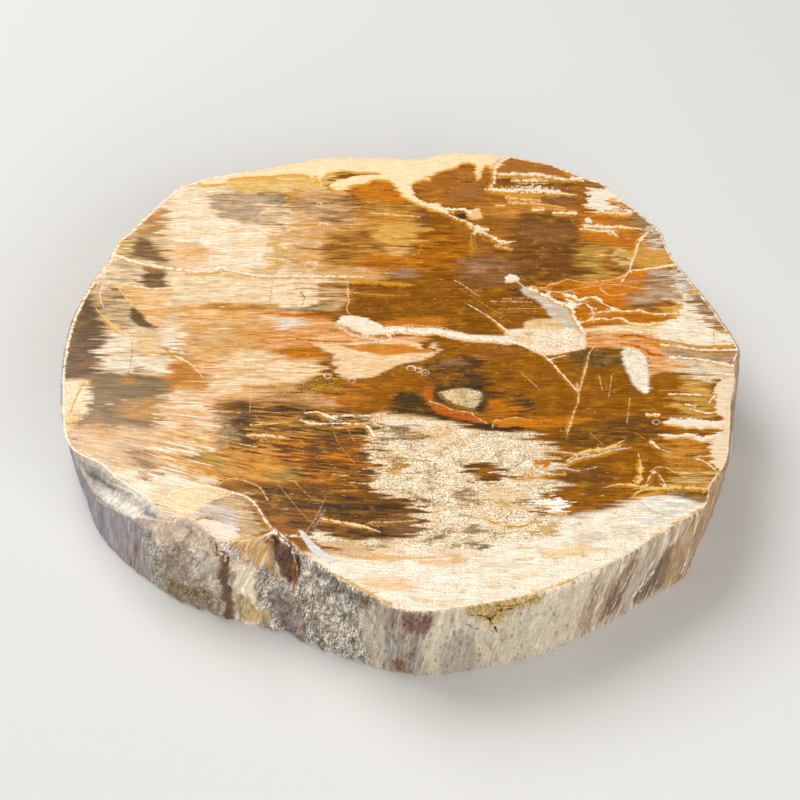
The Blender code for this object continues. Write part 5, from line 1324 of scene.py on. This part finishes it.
class Figure(Shader):
    """A finish of the stone, whose markings are broken up by the noises along its grain."""

    def __init__(self, name, finish, warmth):
        super().__init__(name)
        self.warmth = warmth
        self.stained = finish["stained"]
        self.grain = self.attribute("grain", "Vector")
        self.made = {}
        self.share, self.granular, self.calm = self.parts(self.attribute("ground_mix", "Vector"))
        self.lively = self.math("SUBTRACT", 1.0, self.calm)
        broad = self.times(self.named("broad"), 0.5)
        self.streaks = self.math("MULTIPLY_ADD", self.named("middle"), 0.5, broad)
        lightness, colour = self.ground()
        shade = self.shade()
        colour = self.shaded(self.stains(colour), shade)
        colour = self.threads(colour, lightness)
        colour = self.lines(self.patches(colour, shade))
        self.put(self.surface.inputs["Base Color"], colour)
        roughness = self.step(self.named("grains"), *GRAIN_ROUGHNESS, *finish["roughness"])
        self.put(self.surface.inputs["Roughness"], roughness)

    def named(self, name):
        """One of the noises, made when it is first asked for."""
        if name not in self.made:
            self.made[name] = self.noise(self.grain, *NOISES[name])
        return self.made[name]

    def ground(self):
        """How light each spot of the ground is, and its colour, in streaks or in grains."""
        speckle = self.blend(0.5, self.named("grains"), self.named("sparkle"))
        speckle = self.swayed(speckle, self.named("mottle"), MOTTLE_SHARE)
        balance = self.swayed(self.blend(self.granular, self.streaks, speckle), self.share, BALANCE_SHARE)
        half = self.math("MULTIPLY_ADD", self.calm, CALM_CONTRAST, self.blend(self.granular, *CONTRAST))
        lightness = self.step(balance, self.math("SUBTRACT", 0.5, half), self.math("ADD", 0.5, half))
        colour = self.mix(lightness, self.attribute("ground_dark", "Color"),
                          self.attribute("ground_light", "Color"))
        between = self.times(lightness, self.math("SUBTRACT", 1.0, lightness))
        warm = self.times(between, HALF_LIGHT_WARMTH, self.lively)
        return lightness, self.mix(warm, colour, self.warmth, "MULTIPLY")

    def stains(self, colour):
        """Golden stains, and dark clouds in granular stone."""
        golden = self.step(self.named("stain"), *GOLDEN_STAINS, self.stained)
        golden = self.times(golden, self.blend(self.granular, *GOLDEN_SHARE))
        colour = self.mix(golden, colour, self.mix(self.granular, rgba("gold"), rgba("straw")))
        cloud = self.times(self.step(self.named("mottle"), *CLOUDS), self.granular)
        return self.mix(cloud, colour, rgba("taupe"))

    def shade(self):
        """Thin light and dark fibres, and in granular stone light and dark grains."""
        fibres = self.step(self.named("thin"), *FIBRE_SHADES)
        shade = self.blend(self.granular, fibres, self.step(self.named("sparkle"), *GRAIN_SHADES))
        for name, step in (("middle", LIGHT_FIBRES), ("uneven", DARK_FIBRES), ("rays", RAYS)):
            shade = self.times(shade, self.step(self.named(name), *step))
        return self.blend(self.times(self.calm, CALM_SHADE), shade, 1.0)

    def threads(self, colour, lightness):
        """Cream flecks, glints in the light streaks and long honey hairs, all fewer in calm ground."""
        flecks = self.times(self.step(self.named("flecks"), *FLECKS), self.lively)
        colour = self.mix(flecks, colour, rgba("cream"))
        glints = self.times(self.step(self.named("glints"), *GLINTS), self.times(lightness, self.lively))
        colour = self.shaded(colour, self.math("ADD", glints, 1.0))
        hairs = self.times(self.step(self.named("hairs"), *HAIRS), self.lively)
        return self.mix(hairs, colour, rgba("honey"))

    def patches(self, colour, shade):
        """The crisp patches over the ground, with their golden rims."""
        distance, ragged, soft = self.parts(self.attribute("patch_edge", "Vector"))
        ripple = self.blend(0.5, self.named("middle"), self.named("grains"))
        wander = self.times(self.math("SUBTRACT", ripple, 0.5), PATCH_WANDER)
        inside = self.math("MULTIPLY_ADD", wander, ragged, distance)
        covered = self.step(inside, self.times(soft, -1.0), soft)
        patch_shade = self.math("MULTIPLY_ADD", shade, *PATCH_SHADE)
        colour = self.mix(covered, colour, self.shaded(self.attribute("patch_colour", "Color"), patch_shade))
        rim = self.step(self.math("ABSOLUTE", self.math("SUBTRACT", inside, RIM_PLACE)), *PATCH_RIM)
        return self.mix(self.times(rim, self.attribute("patch_rim")), colour, rgba("gold"))

    def lines(self, colour):
        """The veins and cracks over everything, and the golden halos of the wider ones."""
        aside, away, width = self.parts(self.attribute("line_offset", "Vector"))
        spread = self.times(width, self.step(self.named("knots"), *KNOTS))
        shaken = self.swayed(aside, self.named("sparkle"), LINE_SHAKE)
        reach = self.math("SUBTRACT", spread, self.math("ABSOLUTE", shaken))
        present = self.step(self.math("SUBTRACT", away, width), *LINE_ENDS)
        below = self.math("MINIMUM", self.math("MAXIMUM", aside, -HALO_BELOW), 0.0)
        longer = self.math("ADD", reach, self.times(below, HALO_LONGER))
        wide = self.step(width, *HALO_WIDTHS, self.stained + HALO_MORE)
        halo = self.times(self.step(longer, *HALO_REACH), present, wide)
        colour = self.mix(halo, colour, rgba("gold"))
        warm = self.step(self.named("grains"), *LINE_WARMTH)
        line_colour = self.mix(warm, self.attribute("line_colour", "Color"), self.warmth, "MULTIPLY")
        return self.mix(self.times(self.step(reach, *LINE_SEEN), present), colour, line_colour)


def polished_material():
    figure = Figure("petrified_wood_polished", POLISHED, FACE_WARMTH)
    figure.surface.inputs["IOR"].default_value = POLISH_IOR
    figure.surface.inputs["Specular IOR Level"].default_value = POLISH_SPECULAR
    figure.bump(figure.streaks, *POLISHED["bump"])
    return figure.material


def rough_material(name, warmth):
    """The unpolished finish of the wall and the underside."""
    figure = Figure(name, ROUGH, warmth)
    figure.bump(figure.math("ADD", figure.streaks, figure.named("grains")), *ROUGH["bump"])
    return figure.material


def unroll(shapes, key):
    """The wall's shapes with their degrees turned into millimetres round the stone."""
    return [dict(s, **{key: [(p[0] * MM_PER_DEGREE, *p[1:]) for p in s[key]]}) for s in shapes]


def rim_lines_with_highlight(rim, angles):
    """The pale line just inside the face's rim, white at the left, straw above the front: partly the pale
    chipped edge, partly a painted highlight, widest at the left.
    """
    angles = (angles + 180) % 360 - 180
    inwards = np.array(CENTRE) - rim[:, :2]
    inwards /= np.hypot(*inwards.T)[:, None]
    lines = []
    for colour, start, end, width in RIM_LINES_WITH_HIGHLIGHT:
        chosen = np.nonzero((angles >= start) & (angles <= end))[0][::RIM_LINE_STEP]
        chosen = chosen[np.argsort(angles[chosen])]
        spots = rim[chosen, :2] + inwards[chosen] * RIM_LINE_INSET * width
        lines.append(line(colour, [tuple(spot) for spot in spots], width))
    return lines


def bubble_circle(step, end):
    """Points round a bubble of radius 1."""
    turns = np.radians(np.arange(0, end, step))
    return np.stack([np.cos(turns), BUBBLE_HEIGHT * np.sin(turns)], 1)


def bubble_points():
    """Rings of points in and round each bubble."""
    circle = bubble_circle(30, 360)
    return [np.array([x, y]) + circle * radius * share
            for x, y, radius, depth in BUBBLES for share in BUBBLE_RINGS]


def bubble_highlight_rims():
    """A thin pale line round each bubble: a painted highlight on its edge."""
    circle = bubble_circle(40, 400)
    return [line("ivory", [tuple(spot) for spot in np.array([x, y]) + circle * radius], BUBBLE_HIGHLIGHT_RIM)
            for x, y, radius, depth in BUBBLES]


def bubble_depth(places):
    """How deep the bubbles reach below the polish at each place."""
    depths = np.zeros(len(places))
    for x, y, radius, depth in BUBBLES:
        away = np.hypot(places[:, 0] - x, (places[:, 1] - y) / BUBBLE_HEIGHT) / radius
        depths = np.maximum(depths, depth * np.sqrt(np.clip(1 - away ** 2, 0, 1)))
    return depths


def make_mesh(name, places, faces, layers, material):
    """A mesh piece of the stone from places in millimetres, with its layers of markings as attributes."""
    data = bpy.data.meshes.new(name)
    data.from_pydata([tuple(p * MM) for p in places], [], faces)
    for layer, values in layers.items():
        kind = {1: "FLOAT", 3: "FLOAT_VECTOR", 4: "FLOAT_COLOR"}[1 if values.ndim == 1 else values.shape[1]]
        attribute = data.attributes.new(layer, kind, "POINT")
        field = {"FLOAT": "value", "FLOAT_VECTOR": "vector", "FLOAT_COLOR": "color"}[kind]
        attribute.data.foreach_set(field, np.ascontiguousarray(values, dtype=np.float32).ravel())
    data.materials.append(material)
    piece = bpy.data.objects.new(name, data)
    bpy.context.scene.collection.objects.link(piece)
    return piece


def make_piece(name, places, faces, layers, material):
    piece = make_mesh(name, places, faces, layers, material)
    piece.data.shade_smooth()
    piece.data.set_sharp_from_angle(angle=math.radians(SHARP_ANGLE))
    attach(piece, "root")
    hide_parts(NODE)
    return piece


def make_wall(rings, wall):
    """The wall's piece, from its rings as (angle, radius, height) and its places in millimetres."""
    levels, columns = wall.shape[:2]
    faces = []
    for start in range(0, (levels - 1) * columns, columns):
        for c in range(columns):
            d = (c + 1) % columns
            faces.append((start + c, start + d, start + columns + d, start + columns + c))
    angles = (rings[:, :, 0].ravel() + 270) % 360 - 270
    heights = rings[:, :, 2].ravel()
    grain = grain_of_wall(angles, heights)
    shift = torn(grain)[:, ::-1] * WALL_TEAR
    unrolled = np.stack([angles * MM_PER_DEGREE, heights], 1)
    layers = markings(unrolled, grain, shift, unroll(WALL_GROUND, "outline"), [],
                      unroll(WALL_LINES, "points"), WALL_BASE)
    make_piece("petrified_wood_slice_wall", wall.reshape(-1, 3), faces, layers,
               rough_material("petrified_wood_weathered", WALL_WARMTH))


def make_face(rim, z, shapes):
    """The polished face, hollow at the bubbles."""
    places, faces = flat_cap(rim, z, FACE_STEPS, bubble_points())
    grain = grain_of_face(places)
    layers = markings(places[:, :2], grain, torn(grain), *shapes)
    places[:, 2] -= bubble_depth(places)
    make_piece("petrified_wood_slice_face", places, faces, layers, polished_material())


def make_underside(rim, shapes):
    """The sawn underside, with the figure of the face."""
    places, faces = flat_cap(rim, 0.0, UNDERSIDE_STEPS, [])
    grain = grain_of_face(places)
    layers = markings(places[:, :2], grain, torn(grain), *shapes)
    make_piece("petrified_wood_slice_underside", places, [face[::-1] for face in faces], layers,
               rough_material("petrified_wood_sawn", FACE_WARMTH))


def make_stone():
    """The wall, the polished face and the underside, which share their rims."""
    rings = finer_wall(wall_grid())
    wall = make_wall_points(rings)
    make_wall(rings, wall)
    # The veins, the bubbles' pale rims of painted highlight, and the rim's pale lines, partly painted
    # highlight
    face_lines = LINES + bubble_highlight_rims() + rim_lines_with_highlight(wall[-1], rings[-1, :, 0])
    shapes = (GROUND, PATCHES, face_lines, FACE_BASE)
    make_face(wall[-1, :, :2], rings[-1, 0, 2], shapes)
    make_underside(wall[0, :, :2], shapes)


def make_floor():
    data = bpy.data.meshes.new("floor")
    half = FLOOR_SIZE / 2
    corners = [(-half, -half, 0), (half, -half, 0), (half, half, 0), (-half, half, 0)]
    data.from_pydata(corners, [], [(0, 1, 2, 3)])
    shader = Shader("floor")
    shader.surface.inputs["Base Color"].default_value = rgba(FLOOR_COLOUR)
    shader.surface.inputs["Roughness"].default_value = FLOOR_ROUGHNESS
    data.materials.append(shader.material)
    floor = bpy.data.objects.new("floor", data)
    bpy.context.scene.collection.objects.link(floor)


def aim(thing, place, target):
    thing.location = Vector(place) * MM
    direction = (Vector(target) - Vector(place)) * MM
    thing.rotation_euler = direction.to_track_quat("-Z", "Y").to_euler()


def make_light(name, light):
    data = bpy.data.lights.new(name, "AREA")
    data.size = light["size"] * MM
    data.energy = light["power"]
    lamp = bpy.data.objects.new(name, data)
    lamp.visible_glossy = light["mirrored"]
    bpy.context.scene.collection.objects.link(lamp)
    aim(lamp, light["place"], (0, 0, 0))


def make_world():
    world = bpy.data.worlds.new("studio")
    world.use_nodes = True
    background = world.node_tree.nodes["Background"]
    background.inputs["Color"].default_value = (1.0, 1.0, 1.0, 1.0)
    background.inputs["Strength"].default_value = SKY_STRENGTH
    bpy.context.scene.world = world


def make_camera():
    data = bpy.data.cameras.new("camera")
    data.sensor_width = CAMERA_SENSOR
    data.lens = CAMERA_LENS
    data.clip_start = CAMERA_NEAR
    camera = bpy.data.objects.new("camera", data)
    bpy.context.scene.collection.objects.link(camera)
    rise = math.radians(CAMERA_ELEVATION)
    away = Vector((0, -math.cos(rise), math.sin(rise))) * CAMERA_DISTANCE
    aim(camera, Vector(CAMERA_TARGET) + away, CAMERA_TARGET)
    bpy.context.scene.camera = camera


make_stone()
make_floor()
make_light("key", KEY_LIGHT)
make_light("fill", FILL_LIGHT)
make_world()
make_camera()
bpy.context.scene.view_settings.view_transform = "Standard"
bpy.context.scene.view_settings.look = "None"
